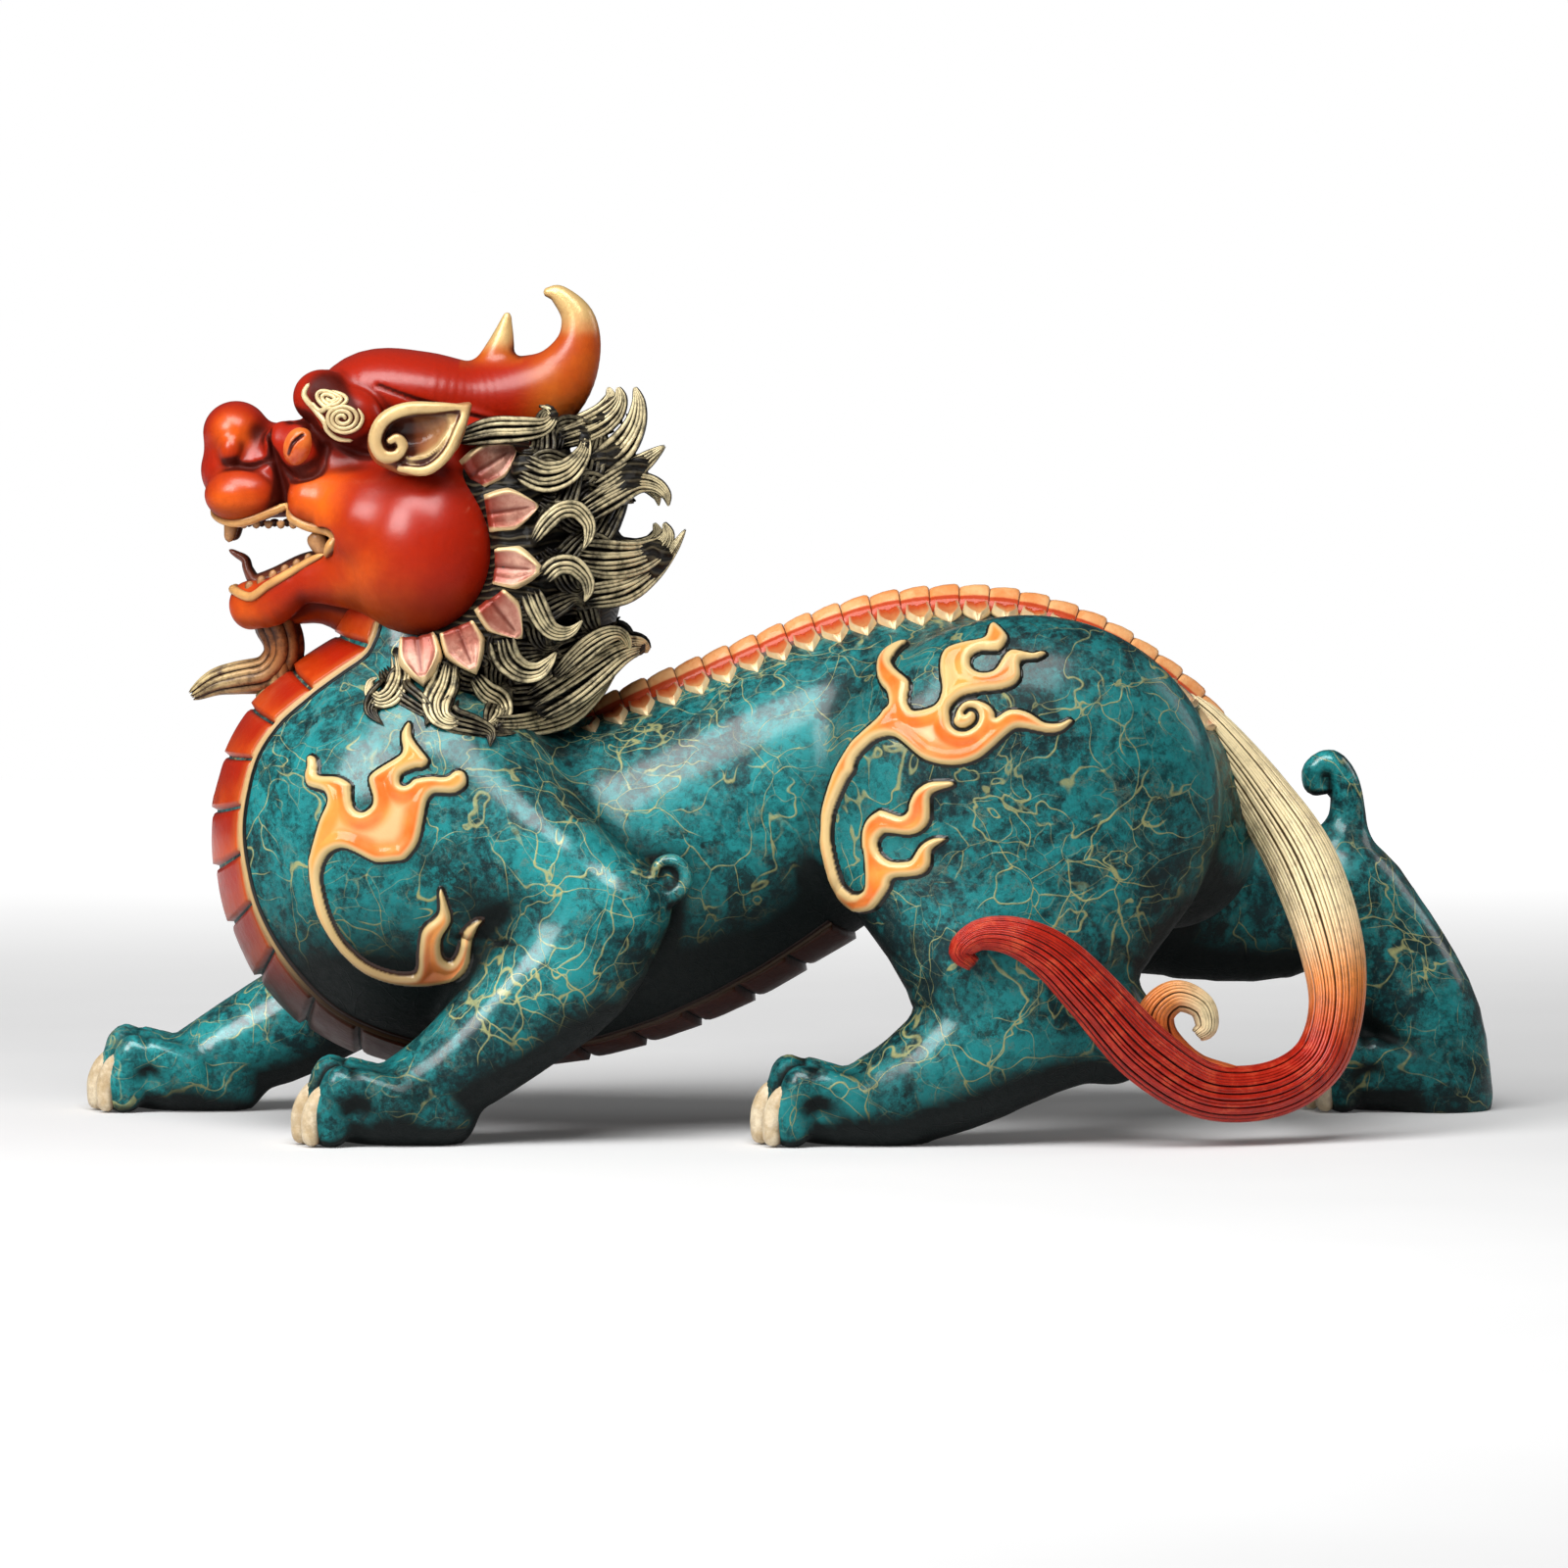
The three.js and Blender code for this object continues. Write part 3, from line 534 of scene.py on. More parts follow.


# Its patina is mottled turquoise over near-black, crazed with fine veins of pale gold, under a clear
# lacquer; painted shade darkens it in the hollows and underneath.
def patina(s):
    at = s.node("ShaderNodeTexCoord", output="Object")
    swirl = s.node(
        "ShaderNodeTexNoise", {"Vector": at, "Scale": 42, "Detail": 6, "Roughness": 0.62}, output="Color"
    )
    bent = s.node("ShaderNodeVectorMath", {0: swirl, 1: (0.05,) * 3, 2: at}, operation="MULTIPLY_ADD")

    drift = s.node(
        "ShaderNodeTexNoise", {"Vector": at, "Scale": 36, "Detail": 2.5, "Roughness": 0.5}, output="Color"
    )
    curved = s.node("ShaderNodeVectorMath", {0: drift, 1: (0.032,) * 3, 2: at}, operation="MULTIPLY_ADD")

    def crazing(scale, wide, patch):
        edge = s.node(
            "ShaderNodeTexVoronoi",
            {"Vector": curved, "Scale": scale, "Randomness": 1},
            feature="DISTANCE_TO_EDGE",
        )
        return edge.ramp(0, wide, 1, 0) * s.noise(patch, 3, 0.7, at).ramp(0.42, 0.56)

    dark = s.kept("shade")
    large = s.noise(22, 4, 0.6, bent).ramp(0.4, 0.6)
    cloud = s.noise(80, 6, 0.7, bent).ramp(0.38, 0.62)
    fine = s.noise(430, 6, 0.75, at).ramp(0.36, 0.66)
    tone = (0.3 * large + 0.4 * cloud + 0.3 * fine).ramp(0.12, 0.85)
    colour = tone.mix((0.004, 0.034, 0.04), (0.018, 0.36, 0.37))
    olive = s.noise(150, 7, 0.8, bent).ramp(0.52, 0.68)
    colour = (olive * 0.55).mix(colour, (0.2, 0.27, 0.2))
    colour = (s.noise(66, 6, 0.75, bent).ramp(0.53, 0.66) * 0.8).mix(colour, (0.006, 0.014, 0.014))
    wander = s.maths("ABSOLUTE", s.noise(30, 3, 0.55, curved) - 0.5).ramp(0.0, 0.009, 1, 0)
    wander = wander * s.noise(27, 3, 0.7, at).ramp(0.4, 0.5)
    net = crazing(34, 0.0105, 22) + 0.8 * crazing(66, 0.018, 30) + 0.45 * crazing(130, 0.034, 41)
    net = net + 0.9 * wander
    vein = net.ramp(0.1, 0.9) * s.noise(300, 4, 0.7, at).ramp(0.3, 0.5, 0.6, 1)
    haze = (crazing(34, 0.1, 22) + 0.6 * crazing(66, 0.14, 30)) * olive
    colour = (haze * 0.55).mix(colour, (0.24, 0.33, 0.2))
    colour = (vein * (0.6 + 0.4 * cloud)).mix(colour, (0.58, 0.58, 0.24))
    # Painted shade: the kept shade takes the colour towards near-black.
    colour = dark.mix(colour, (0.002, 0.005, 0.005))
    lump = fine * 0.5 + olive * 0.3 + vein * 0.7
    return {
        "Base Color": colour,
        "Roughness": 0.3 + 0.14 * fine + 0.2 * dark,
        "Metallic": 0.1 + 0.1 * large,
        "Coat Weight": s.kept("rise").ramp(-0.1, 0.3) * dark.ramp(0.1, 0.8, 1.0, 0.0),
        "Coat Roughness": 0.17,
        "bump": (lump, 0.12),
    }


def fade(value, low, high):
    t = np.clip((value - low) / (high - low), 0, 1)
    return t * t * (3 - 2 * t)


def shaded(clay, points, under=0.9, deep=0.7):
    """How much painted shade the colour takes, in hollows and where the skin faces down, and how far the skin
    faces up.
    """
    f, g = clay.slope(points)
    out = g / np.maximum(np.linalg.norm(g, axis=1), 1e-6)[:, None]
    hollow = sum(np.clip(1 - clay.field(points + out * r) / r, 0, 1) for r in (1.2, 3.5, 8))
    return np.clip(deep * hollow + under * fade(-out[:, 2], 0.0, 0.75), 0, 1), out[:, 2]


BODY_STEP, SOLE = 1.4, 0.05
points, quads = body.skin((-192, -72, -2), (188, 72, 166), BODY_STEP)
# Painted shade in the hollows, where the skin faces down and towards the ground; the far foreleg is painted
# lighter.
dark, rise = shaded(body, points)
dark += 0.22 * fade(points[:, 2], 64, 22) + 0.18 * fade(points[:, 2], 25, 14)
dark = np.clip(dark - 0.35 * fade(points[:, 1], 18, 36) * fade(points[:, 0], -95, -125), 0, 1)
points[:, 2] = np.maximum(points[:, 2], SOLE)
piece("body", points, quads, finish("patina_teal", patina), shade=dark, rise=rise)


# The head is part of the same casting: a round-cheeked skull with a bulb nose, two puffed lips over an
# open mouth, and a crest that runs back into a single hooked horn with a prong in front of it.
head = Clay()
head.ball((-90, 0, 166), (27, 24, 22))
head.limb(
    [
        [-100, 0, 168, 16, 20], [-119, 0, 168.5, 12.5, 15.5], [-134, 0, 167, 11.8, 12.5],
        [-140, 0, 167.5, 10, 10.5],
    ],
    melt=3,
)
head.both("ball", (-92, -19, 147.8), (19.8, 21, 23), melt=6)
head.both("limb", [[-119, -15, 139.5, 5.5, 5], [-108, -18.5, 141, 9, 8], [-98, -20, 143.5, 14, 13]], melt=4)
head.both(
    "limb", [[-120, -13, 160, 7.6, 8.5], [-113, -15, 158.5, 9.5, 10], [-104, -20, 154, 14, 13]], melt=3
)
head.both("ball", (-138.3, -8.5, 161.3), (10.2, 9.2, 7.4), melt=1.6)
head.ball((-141, 0, 177), (8.4, 10.8, 8), melt=3)
head.both("ball", (-141.6, -8.6, 172.6), (3.2, 4, 4.3), melt=1.2)
head.both("ball", (-127.8, -10.5, 174.6), (5.4, 5.6, 5.4), melt=2)
head.both("ball", (-123.8, -14.2, 173), (5.4, 4.2, 6.6), melt=1.5)
head.both("ball", (-118.4, -11.5, 186), (7.4, 7.6, 7), melt=1.5)
head.both("ball", (-111, -15.5, 180.6), (8.6, 7.2, 7.8), melt=3)
CREST = [
    [-116, 0, 183, 8, 13],
    [-106, 0, 186, 12, 16],
    [-94, 0, 186, 11.6, 16],
    [-81.5, 0, 184, 11, 13],
    [-69, 0, 184.5, 11.8, 10],
    [-59.5, 0, 189.5, 9, 7.5],
    [-54.2, 0, 198, 6, 5.6],
    [-54, 0, 206, 4.2, 4],
    [-58.5, 0, 211.8, 2.5, 2.4],
    [-61.5, 0, 212.6, 1.3, 1.3],
]
head.limb(CREST, steps=54, melt=1.5)
head.limb([[-76.5, 0, 190, 6, 5], [-73.6, 0, 199, 3.4, 3], [-72, 0, 206.4, 1.1, 1.1]], melt=2.5)
head.limb(
    [[-104, 0, 136, 14, 17], [-117, 0, 137, 9, 11.5], [-128, 0, 135, 7, 9], [-136.5, 0, 133, 5.8, 7]],
    melt=3,
)
JAW = [
    [-137.5, -4, 133.2, 6, 5], [-131.5, -9, 134, 6, 4.2], [-125, -13, 138.2, 5, 4],
    [-118, -16.5, 141.2, 4.6, 4], [-109, -21, 142.5, 8, 6],
]
head.both("limb", JAW, melt=2.5)

# The mouth is hollowed through behind the lips, and the lower jaw is a trough.
head.limb(
    [[-150, 0, 147.5, 5.5, 30], [-136, 0, 148.2, 4.4, 30], [-124, 0, 150.6, 1.2, 30]], melt=1, cut=True
)
head.limb([[-140, 0, 142, 3.2, 5], [-128, 0, 144.5, 3.8, 8.5], [-116, 0, 149, 4, 12]], melt=1, cut=True)
head.both("ball", (-117.2, -20, 150.2), (3.5, 10, 3), melt=0.8, cut=True)

# Furrows: behind the nostril, between the lips' puffs, round the eye, under the brow and below the crest.
FURROWS = [
    [[-140, -11, 168.4, 0.4], [-136, -12, 168, 0.6], [-131.6, -12.5, 170, 0.4]],
    [[-131, -12, 177, 0.4], [-130, -13.6, 169.5, 0.8], [-129, -15.5, 163, 0.9], [-129, -15, 157.5, 0.7]],
    [
        [-129.2, -14, 168, 0.4], [-124.6, -17, 165.4, 0.6], [-119, -18, 167.4, 0.6],
        [-117.4, -18, 172.5, 0.3],
    ],
    [[-121.5, -17, 178.6, 0.4], [-117, -20, 173.8, 0.7], [-109, -22, 171.6, 0.7], [-103, -24, 173.5, 0.4]],
    [[-104, -16, 189, 0.1], [-98, -17, 186.6, 0.2], [-88, -16, 183.5, 0.3], [-74, -12, 179.5, 0.2]],
]
for line in FURROWS:
    head.press(line)


# Its lacquer is a deep red, orange on the swellings; painted shade turns it maroon in the hollows,
# underneath, at the back and bottom of the cheek and in the brow curls. The horn is gilt.
def lacquer(s):
    dark, gild = s.kept("shade"), s.kept("gild")
    cloud = s.noise(38, 4, 0.6).ramp(0.3, 0.72)
    grain = s.noise(500, 5, 0.7).ramp(0.3, 0.7)
    glow = (s.kept("glow") * (0.55 + 0.6 * cloud)).ramp(0.05, 0.95)
    colour = glow.mix((0.37, 0.013, 0.002), (0.82, 0.13, 0.008))
    colour = (gild.ramp(0.0, 0.5) * (0.4 + 0.6 * cloud)).mix(colour, (0.6, 0.15, 0.014))
    colour = (gild + 0.25 * cloud).ramp(0.5, 1.1).mix(colour, (0.74, 0.5, 0.2))
    # Painted shade takes the red towards near-black maroon.
    colour = (dark.ramp(0.12, 0.9) * 0.95).mix(colour, (0.045, 0.004, 0.002))
    colour = (grain * 0.12).mix(colour, (0.14, 0.01, 0.004))
    return {
        "Base Color": colour,
        "Specular IOR Level": 0.12,
        "Roughness": 0.3 + 0.12 * grain + 0.15 * dark,
        "Metallic": 0.3 * gild.ramp(0.5, 1.0),
        "Coat Weight": s.kept("rise").ramp(-0.1, 0.3) * dark.ramp(0.1, 0.8, 0.8, 0.0),
        "Coat Roughness": 0.26,
        "bump": (grain * 0.4 + cloud, 0.12),
    }


HEAD_STEP = 0.62
points, quads = head.skin((-154, -44, 118), (-46, 44, 217), HEAD_STEP)
x, y, z = points.T
gild = np.maximum(fade(z, 189, 212) * (x > -68), fade(z, 191, 204) * (x < -68) * (x > -84))
gild = np.maximum(gild, 0.4 * fade(x, -74, -58) * (z > 176))
swell = [
    ((-101, 19, 137), 20), ((-120, 20, 160), 9), ((-140, 13, 160), 8), ((-141, 8, 177), 6),
    ((-134, 4, 131), 11),
]
glow = sum(np.exp(-((x - a) ** 2 + (abs(y) - b) ** 2 + (z - c) ** 2) / r**2) for (a, b, c), r in swell)
# Painted shade at the back and bottom edge of the cheek and in the middle of the two brow curls.
painted_jowl_shade = 0.55 * fade(np.hypot(x + 99, z - 150), 18, 30) * fade(z, 159, 145) * fade(x, -110, -96)
painted_whorl_shade = sum(
    np.exp(-(((x - a) ** 2 + (z - b) ** 2) / 36) ** 2) for a, b in ((-116.8, 187.3), (-113, 180.8))
) * (abs(y) > 10)
dark, rise = shaded(head, points, 0.5, 0.6)
dark = np.clip(np.maximum(dark, np.maximum(painted_jowl_shade, painted_whorl_shade)), 0, 1)
piece(
    "head",
    points,
    quads,
    finish("lacquer_red", lacquer),
    shade=dark,
    rise=rise,
    gild=gild,
    glow=np.clip(glow, 0, 1),
)


# Lips, brows and ears are edged in gilt. Each edge is a bead cast on the head, through stations [x, y, z,
# thick, wide] with its thickness along the way out of the skin.
def tube(stations, out, sides=10, steps=None, blunt=0.12):
    """(points, quads, crest, along) of a round bead: crest is 1 on its outer side and 0 against the skin."""
    s = smooth(stations, steps or 6 * (len(stations) - 1))
    t = np.linspace(0, 1, len(s))
    along = np.gradient(s[:, :3], axis=0)
    along /= np.linalg.norm(along, axis=1)[:, None]
    out = np.broadcast_to(np.asarray(out, float), (len(stations), 3))
    up = smooth(out, len(s) - 1)
    up = up - (up * along).sum(1)[:, None] * along
    up /= np.linalg.norm(up, axis=1)[:, None]
    side = np.cross(along, up)
    end = np.clip(np.minimum(t, 1 - t) / blunt, 0, 1)
    round_off = np.sqrt(1 - (1 - end) ** 2) + 0.005
    a = np.linspace(0, 2 * math.pi, sides, endpoint=False)
    thick, wide = s[:, 3] * round_off, s[:, 4] * round_off
    ring = np.sin(a)[None, :, None] * (up * thick[:, None])[:, None] + np.cos(a)[None, :, None] * (
        side * wide[:, None]
    )[:, None]
    points = (s[:, None, :3] + ring).reshape(-1, 3)
    crest = np.tile((1 + np.sin(a)) / 2, len(s))
    return points, wrap(len(s), sides), crest, np.repeat(t, sides)


def wrap(rows, columns, closed=True):
    """The quads over a grid of points, whose columns may close on themselves."""
    i, j = np.meshgrid(np.arange(rows - 1), np.arange(columns if closed else columns - 1), indexing="ij")
    k = (j + 1) % columns
    return np.stack(
        [i * columns + j, i * columns + k, (i + 1) * columns + k, (i + 1) * columns + j], -1
    ).reshape(-1, 4)


def gather(parts):
    """Several lists of points, quads and values as one."""
    start = np.cumsum([0] + [len(p[0]) for p in parts])
    quads = np.vstack([p[1] + n for p, n in zip(parts, start)])
    return np.vstack([p[0] for p in parts]), quads, *(np.concatenate(v) for v in list(zip(*parts))[2:])


def twins(parts):
    """The parts and their twins across the middle plane."""
    return list(parts) + [(p * [1, -1, 1], q[:, ::-1], *rest) for p, q, *rest in parts]


def bead(clay, line, lift=0.2, **options):
    """A bead along [x, y, z, thick, wide], brought to the surface of the clay."""
    line = np.asarray(line, float)
    at = clay.settle(line[:, :3], lift)
    f, g = clay.slope(at)
    return tube(np.column_stack([at, line[:, 3:]]), g, **options)


UPPER_LIP = [
    [-147.2, -3, 158.4, 1.1, 1.2],
    [-145.3, -7, 156.6, 1.2, 1.3],
    [-141.5, -11, 154.8, 1.2, 1.4],
    [-137, -14, 154, 1.2, 1.4],
    [-132.6, -15, 154.9, 1.1, 1.3],
    [-129.2, -15, 157, 1, 1.1],
    [-126, -16.5, 155.6, 1.2, 1.3],
    [-121.6, -18, 154, 1.3, 1.4],
    [-117.2, -20, 155.4, 1.6, 1.7],
    [-113, -23, 154, 1.8, 1.9],
    [-111.4, -23.5, 150.4, 1.9, 1.9],
    [-112.8, -23, 146.8, 1.8, 1.8],
    [-116.4, -21, 145.4, 1.3, 1.4],
]
LOWER_LIP = [
    [-142.4, -2, 138.4, 1, 1],
    [-141, -5.5, 136.8, 1.1, 1.2],
    [-136.6, -10.5, 135.4, 1.1, 1.2],
    [-131.6, -13, 138.2, 1.1, 1.2],
    [-126, -16, 141.6, 1.1, 1.2],
    [-120.6, -18, 144.2, 1, 1.1],
    [-116.5, -20, 145.4, 0.7, 0.8],
]


def spiral(x, z, first, last, turns, start, thick=0.6):
    """A curl in the side plane, wound from its middle outwards, as a line of stations."""
    t = np.linspace(0, 1, int(9 * turns) + 2)
    a = math.radians(start) + 2 * math.pi * turns * t
    r = first + (last - first) * t
    return np.column_stack(
        [
            x + 1.08 * r * np.cos(a),
            -24 + 0 * t,
            z + 0.86 * r * np.sin(a),
            thick + 0 * t,
            0.95 * thick + 0 * t,
        ]
    )


BROW_CURLS = [
    spiral(-116.8, 187.3, 0.5, 4.9, 2.8, 150),
    spiral(-113, 180.7, 0.5, 5.7, 3.2, -30),
    np.array(
        [
            [-121.6, -18, 190, 0.6, 0.6], [-122.6, -18, 186.5, 0.8, 0.8], [-120.6, -20, 182.6, 0.8, 0.8],
            [-118.6, -22, 179.6, 0.8, 0.8], [-117.8, -22, 176.8, 0.7, 0.7], [-114.5, -22, 174.4, 0.7, 0.7],
            [-110, -22, 174, 0.5, 0.5],
        ]
    ),
    np.array(
        [
            [-120.6, -18, 184.9, 0.5, 0.5], [-118.9, -20, 182.6, 0.7, 0.7], [-115.8, -20, 183.4, 0.7, 0.7],
            [-112.6, -20, 186, 0.6, 0.6],
        ]
    ),
]


def gilding(s):
    crest = s.kept("crest").ramp(0.2, 0.9)
    worn = s.noise(180, 5, 0.7).ramp(0.35, 0.7)
    ridge = s.kept("pale").mix((0.78, 0.4, 0.13), (0.78, 0.62, 0.33))
    # Painted shade: each bead is dark on its side against the skin.
    colour = (crest * (0.7 + 0.3 * worn)).mix((0.12, 0.025, 0.01), ridge)
    return {
        "Base Color": colour,
        "Roughness": 0.32 + 0.15 * worn,
        "Metallic": 0.2,
        "Coat Weight": 0.3,
        "bump": (worn, 0.1),
    }


gilt = finish("gilt", gilding)
beads = [bead(head, UPPER_LIP, 0.3, sides=12), bead(head, LOWER_LIP, 0.2, sides=12)]
beads += [bead(head, line, 0.1, blunt=0.05) for line in BROW_CURLS]
beads = [(p, q, crest, 0 * along + (i > 1)) for i, (p, q, crest, along) in enumerate(beads)]
points, quads, crest, pale = gather(twins(beads))
piece("gilt_lips_and_brows", points, quads, gilt, crest=crest, pale=pale)

# The ears are pointed cups that open sideways; the front edge rolls into the cup as a curl. They are cast
# on the head and gilt along their edges, over a red-brown ground.
ear = Clay()
ear.limb(
    [
        [-100.5, -31, 174.8, 6.6, 5.5], [-94, -33, 175, 8.8, 6.5], [-88, -34, 177.6, 6.6, 5],
        [-80.5, -35, 184, 0.9, 1],
    ],
    melt=1.5,
)
ear.limb(
    [[-98, -41, 176.8, 5.2, 6], [-93, -41, 176.8, 5.6, 6.5], [-87.5, -41, 179.4, 3.2, 4.5]],
    melt=1,
    cut=True,
)
ROLL = [
    [-82.5, -37, 183.4, 1, 1],
    [-89, -38.5, 183.4, 1.5, 1.5],
    [-96, -39, 183, 1.8, 1.8],
    [-101.4, -38.5, 180.2, 2, 2],
    [-103.4, -38, 175.4, 2, 2],
    [-101.8, -38, 171.8, 1.9, 2],
    [-98.6, -38, 171.4, 1.8, 1.9],
    [-96.9, -38.3, 173.6, 1.6, 1.7],
    [-98.1, -38.8, 175.8, 1.4, 1.5],
    [-99.8, -39, 175.2, 1.1, 1.2],
]
ear.limb(ROLL, steps=40, melt=0.8)
ear.limb(
    [
        [-97.5, -37.5, 168.4, 1, 1.2], [-91, -38.5, 167.8, 1.3, 1.4], [-86, -38.5, 171.6, 1.3, 1.4],
        [-82.8, -38, 178, 1.2, 1.3], [-80.8, -36.5, 183.6, 0.9, 0.9],
    ],
    steps=16,
    melt=1.2,
)


def cup(s):
    gild, dark = s.kept("gild"), s.kept("shade")
    worn = s.noise(160, 5, 0.7).ramp(0.3, 0.7)
    colour = (gild * (0.75 + 0.25 * worn)).mix((0.3, 0.07, 0.018), (0.74, 0.53, 0.24))
    # Painted shade darkens the cup's hollow and the ear's underside.
    colour = dark.ramp(0.25, 1.0).mix(colour, (0.06, 0.012, 0.005))
    return {
        "Base Color": colour,
        "Roughness": 0.3 + 0.14 * worn,
        "Metallic": 0.2 * gild,
        "Coat Weight": 0.3,
        "bump": (worn, 0.1),
    }


EAR_STEP = 0.5
points, quads = ear.skin((-108, -44, 162), (-78, -24, 188), EAR_STEP)
x, y, z = points.T
gild = np.clip(0.25 * fade(y, -33, -36) + fade(y, -36.5, -39), 0, 1)
gild *= 1 - np.exp(-((((x + 97) / 6) ** 2 + ((z - 175.5) / 5) ** 2) ** 3)) * fade(y, -38.6, -37.4)
both = gather(twins([(points, quads, gild, shaded(ear, points, 0.3)[0])]))
piece("ears", both[0], both[1], finish("ear_gilt", cup), gild=both[2], shade=both[3])

# The eyes are orange beads under heavy lids, each cast on the head with a slit pressed in along the lid,
# and lacquered with it; painted shade darkens the slit.
eye = Clay()
eye.ball((-124.2, -15.6, 173.4), (4, 3.8, 5.2), tilt=-12)
eye.press([[-127.6, -20, 171, 0.15], [-125.6, -20, 174.6, 0.35], [-122.2, -20, 177.6, 0.3]], melt=0.6)


def lidded(s):
    dark = s.kept("shade")
    cloud = s.noise(120, 4, 0.6).ramp(0.3, 0.7)
    # Painted shade takes the orange to near-black in the slit.
    colour = dark.ramp(0.05, 0.6).mix(cloud.mix((0.5, 0.05, 0.01), (0.7, 0.17, 0.03)), (0.08, 0.006, 0.003))
    return {
        "Base Color": colour, "Roughness": 0.25 + 0.1 * cloud, "Coat Weight": 0.5, "bump": (cloud, 0.05)
    }


EYE_STEP = 0.35
points, quads = eye.skin((-129, -20, 167), (-119, -11, 180), EYE_STEP)
both = gather(twins([(points, quads, sunk(eye, points, 0.8))]))
piece("eyes", both[0], both[1], finish("eye_orange", lidded), shade=both[2])

# Two fangs and a row of small teeth stand in each side of either jaw, cast with the lips and painted as
# worn ivory, with painted shade on their inner sides.
FANGS = [
    [[-141.6, -9, 156, 2, 2], [-141.8, -9.5, 152.5, 1.8, 1.8], [-142.4, -9.5, 149.2, 1.2, 1.2]],
    [[-120.6, -16.5, 152, 1.8, 2.6], [-118.8, -17.5, 148.6, 1.6, 2.4], [-116.4, -18.5, 145.4, 0.8, 1]],
]
MOLARS = [(-137.2 + 3.1 * i, -7.6 - 1.5 * i, 137.4 + 1.45 * i) for i in range(6)]
INCISORS = [(-138.5 + 3.2 * i, -9.6 - 1.1 * i, 153.9) for i in range(5)]
teeth = [tube(f, (-0.3, -1, 0), sides=10, blunt=0.25) for f in FANGS]
teeth += [
    tube(
        [[x, y, z - 1, 0.8, 1.1], [x, y, z + 0.6, 0.9, 1.2], [x, y, z + 2, 0.6, 0.8]], (0, -1, 0), blunt=0.3
    )
    for x, y, z in MOLARS
]
teeth += [
    tube([[x, y, z + 1, 0.7, 1], [x, y, z, 0.8, 1.1], [x, y, z - 1.2, 0.5, 0.7]], (0, -1, 0), blunt=0.3)
    for x, y, z in INCISORS
]


def worn_paint_and_shade(s, grain, low, high, coat):
    """Paint from its high colour on a tube's outer side to its low one, painted shade, on its inner side
    against the metal, mottled by wear.
    """
    worn = s.noise(grain, 5, 0.7).ramp(0.3, 0.7)
    colour = (s.kept("crest").ramp(0.3, 1.0) * (0.5 + 0.5 * worn)).mix(low, high)
    return {"Base Color": colour, "Roughness": 0.35 + 0.15 * worn, "Coat Weight": coat, "bump": (worn, 0.1)}


ivory = finish("ivory", lambda s: worn_paint_and_shade(s, 200, (0.07, 0.018, 0.008), (0.5, 0.25, 0.1), 0.2))
points, quads, crest, _ = gather(twins(teeth))
piece("teeth", points, quads, ivory, crest=crest)

# The tongue is cast with the lower jaw and painted a dark brown, with painted shade on its far side. It
# lies flat in the jaw and its tip curls up and forward.
TONGUE = [
    [-112, 0, 144, 9, 3],
    [-122, 0, 144.2, 8.5, 2.6],
    [-131, 0, 140.6, 6.5, 2.2],
    [-136, 0, 139.4, 4.6, 1.8],
    [-138, 0, 142, 3.4, 1.4],
    [-138.8, 0, 144.6, 2.4, 1.2],
    [-141, 0, 146, 1.5, 0.9],
    [-143, 0, 147.2, 0.7, 0.5],
]
TONGUE_LOW, TONGUE_HIGH = (0.03, 0.006, 0.004), (0.2, 0.05, 0.025)
tongue_brown = finish("tongue_brown", lambda s: worn_paint_and_shade(s, 140, TONGUE_LOW, TONGUE_HIGH, 0.3))
points, quads, crest, _ = tube(TONGUE, (0, -1, 0), sides=16, blunt=0.08)
piece("tongue", points, quads, tongue_brown, crest=crest)

# The beard hangs from the chin in fine strands, touches the chest and sweeps forward to a point. All the
# hair is cast as ropes of strands laid side by side.
def strands(stations, out, count, spread=0.8, sides=8, steps=None, twist=0.0, seed=1):
    """Strands all round a limb through [x, y, z, deep, wide], as parts with crest and along."""
    s = smooth(stations, steps or 6 * (len(stations) - 1))
    along = np.gradient(s[:, :3], axis=0)
    along /= np.linalg.norm(along, axis=1)[:, None]
    across = np.asarray(out, float) - (along @ np.asarray(out, float))[:, None] * along
    across /= np.linalg.norm(across, axis=1)[:, None]
    up = np.cross(along, across)
    t = np.linspace(0, 1, len(s))
    dice = np.random.default_rng(seed)
    parts = []
    for i in range(count):
        a = 2 * math.pi * (i + 0.2 * dice.uniform(-1, 1)) / count + twist * t + 0.2 * np.sin(
            5 * t + 0.5 * dice.uniform(0, 1)
        )
        way = np.cos(a)[:, None] * across * s[:, 4:5] + np.sin(a)[:, None] * up * s[:, 3:4]
        thick = math.pi * (s[:, 3] + s[:, 4]) / 2 / count * (1.25 + 0.2 * dice.uniform(-1, 1))
        line = np.column_stack([s[:, :3] + spread * way, thick, thick])[::2]
        parts.append(tube(line, way[::2], sides=sides, steps=len(s) - 1, blunt=0.1))
    return parts


BEARD = [
    [-132.5, 0, 131, 5, 7],
    [-129.4, 0, 124.5, 4.4, 6.4],
    [-129.6, 0, 119.5, 4.2, 6],
    [-133.5, 0, 115.6, 3.9, 5.4],
    [-140.5, 0, 114.6, 3.6, 4.4],
    [-146.5, 0, 113.4, 3, 3.4],
    [-152.8, 0, 109.8, 1.5, 1.6],
]
ROOT = [[-129.6, 0, 121, 3, 5], [-130, 0, 114, 3, 5], [-134.5, 0, 107, 2.4, 4]]


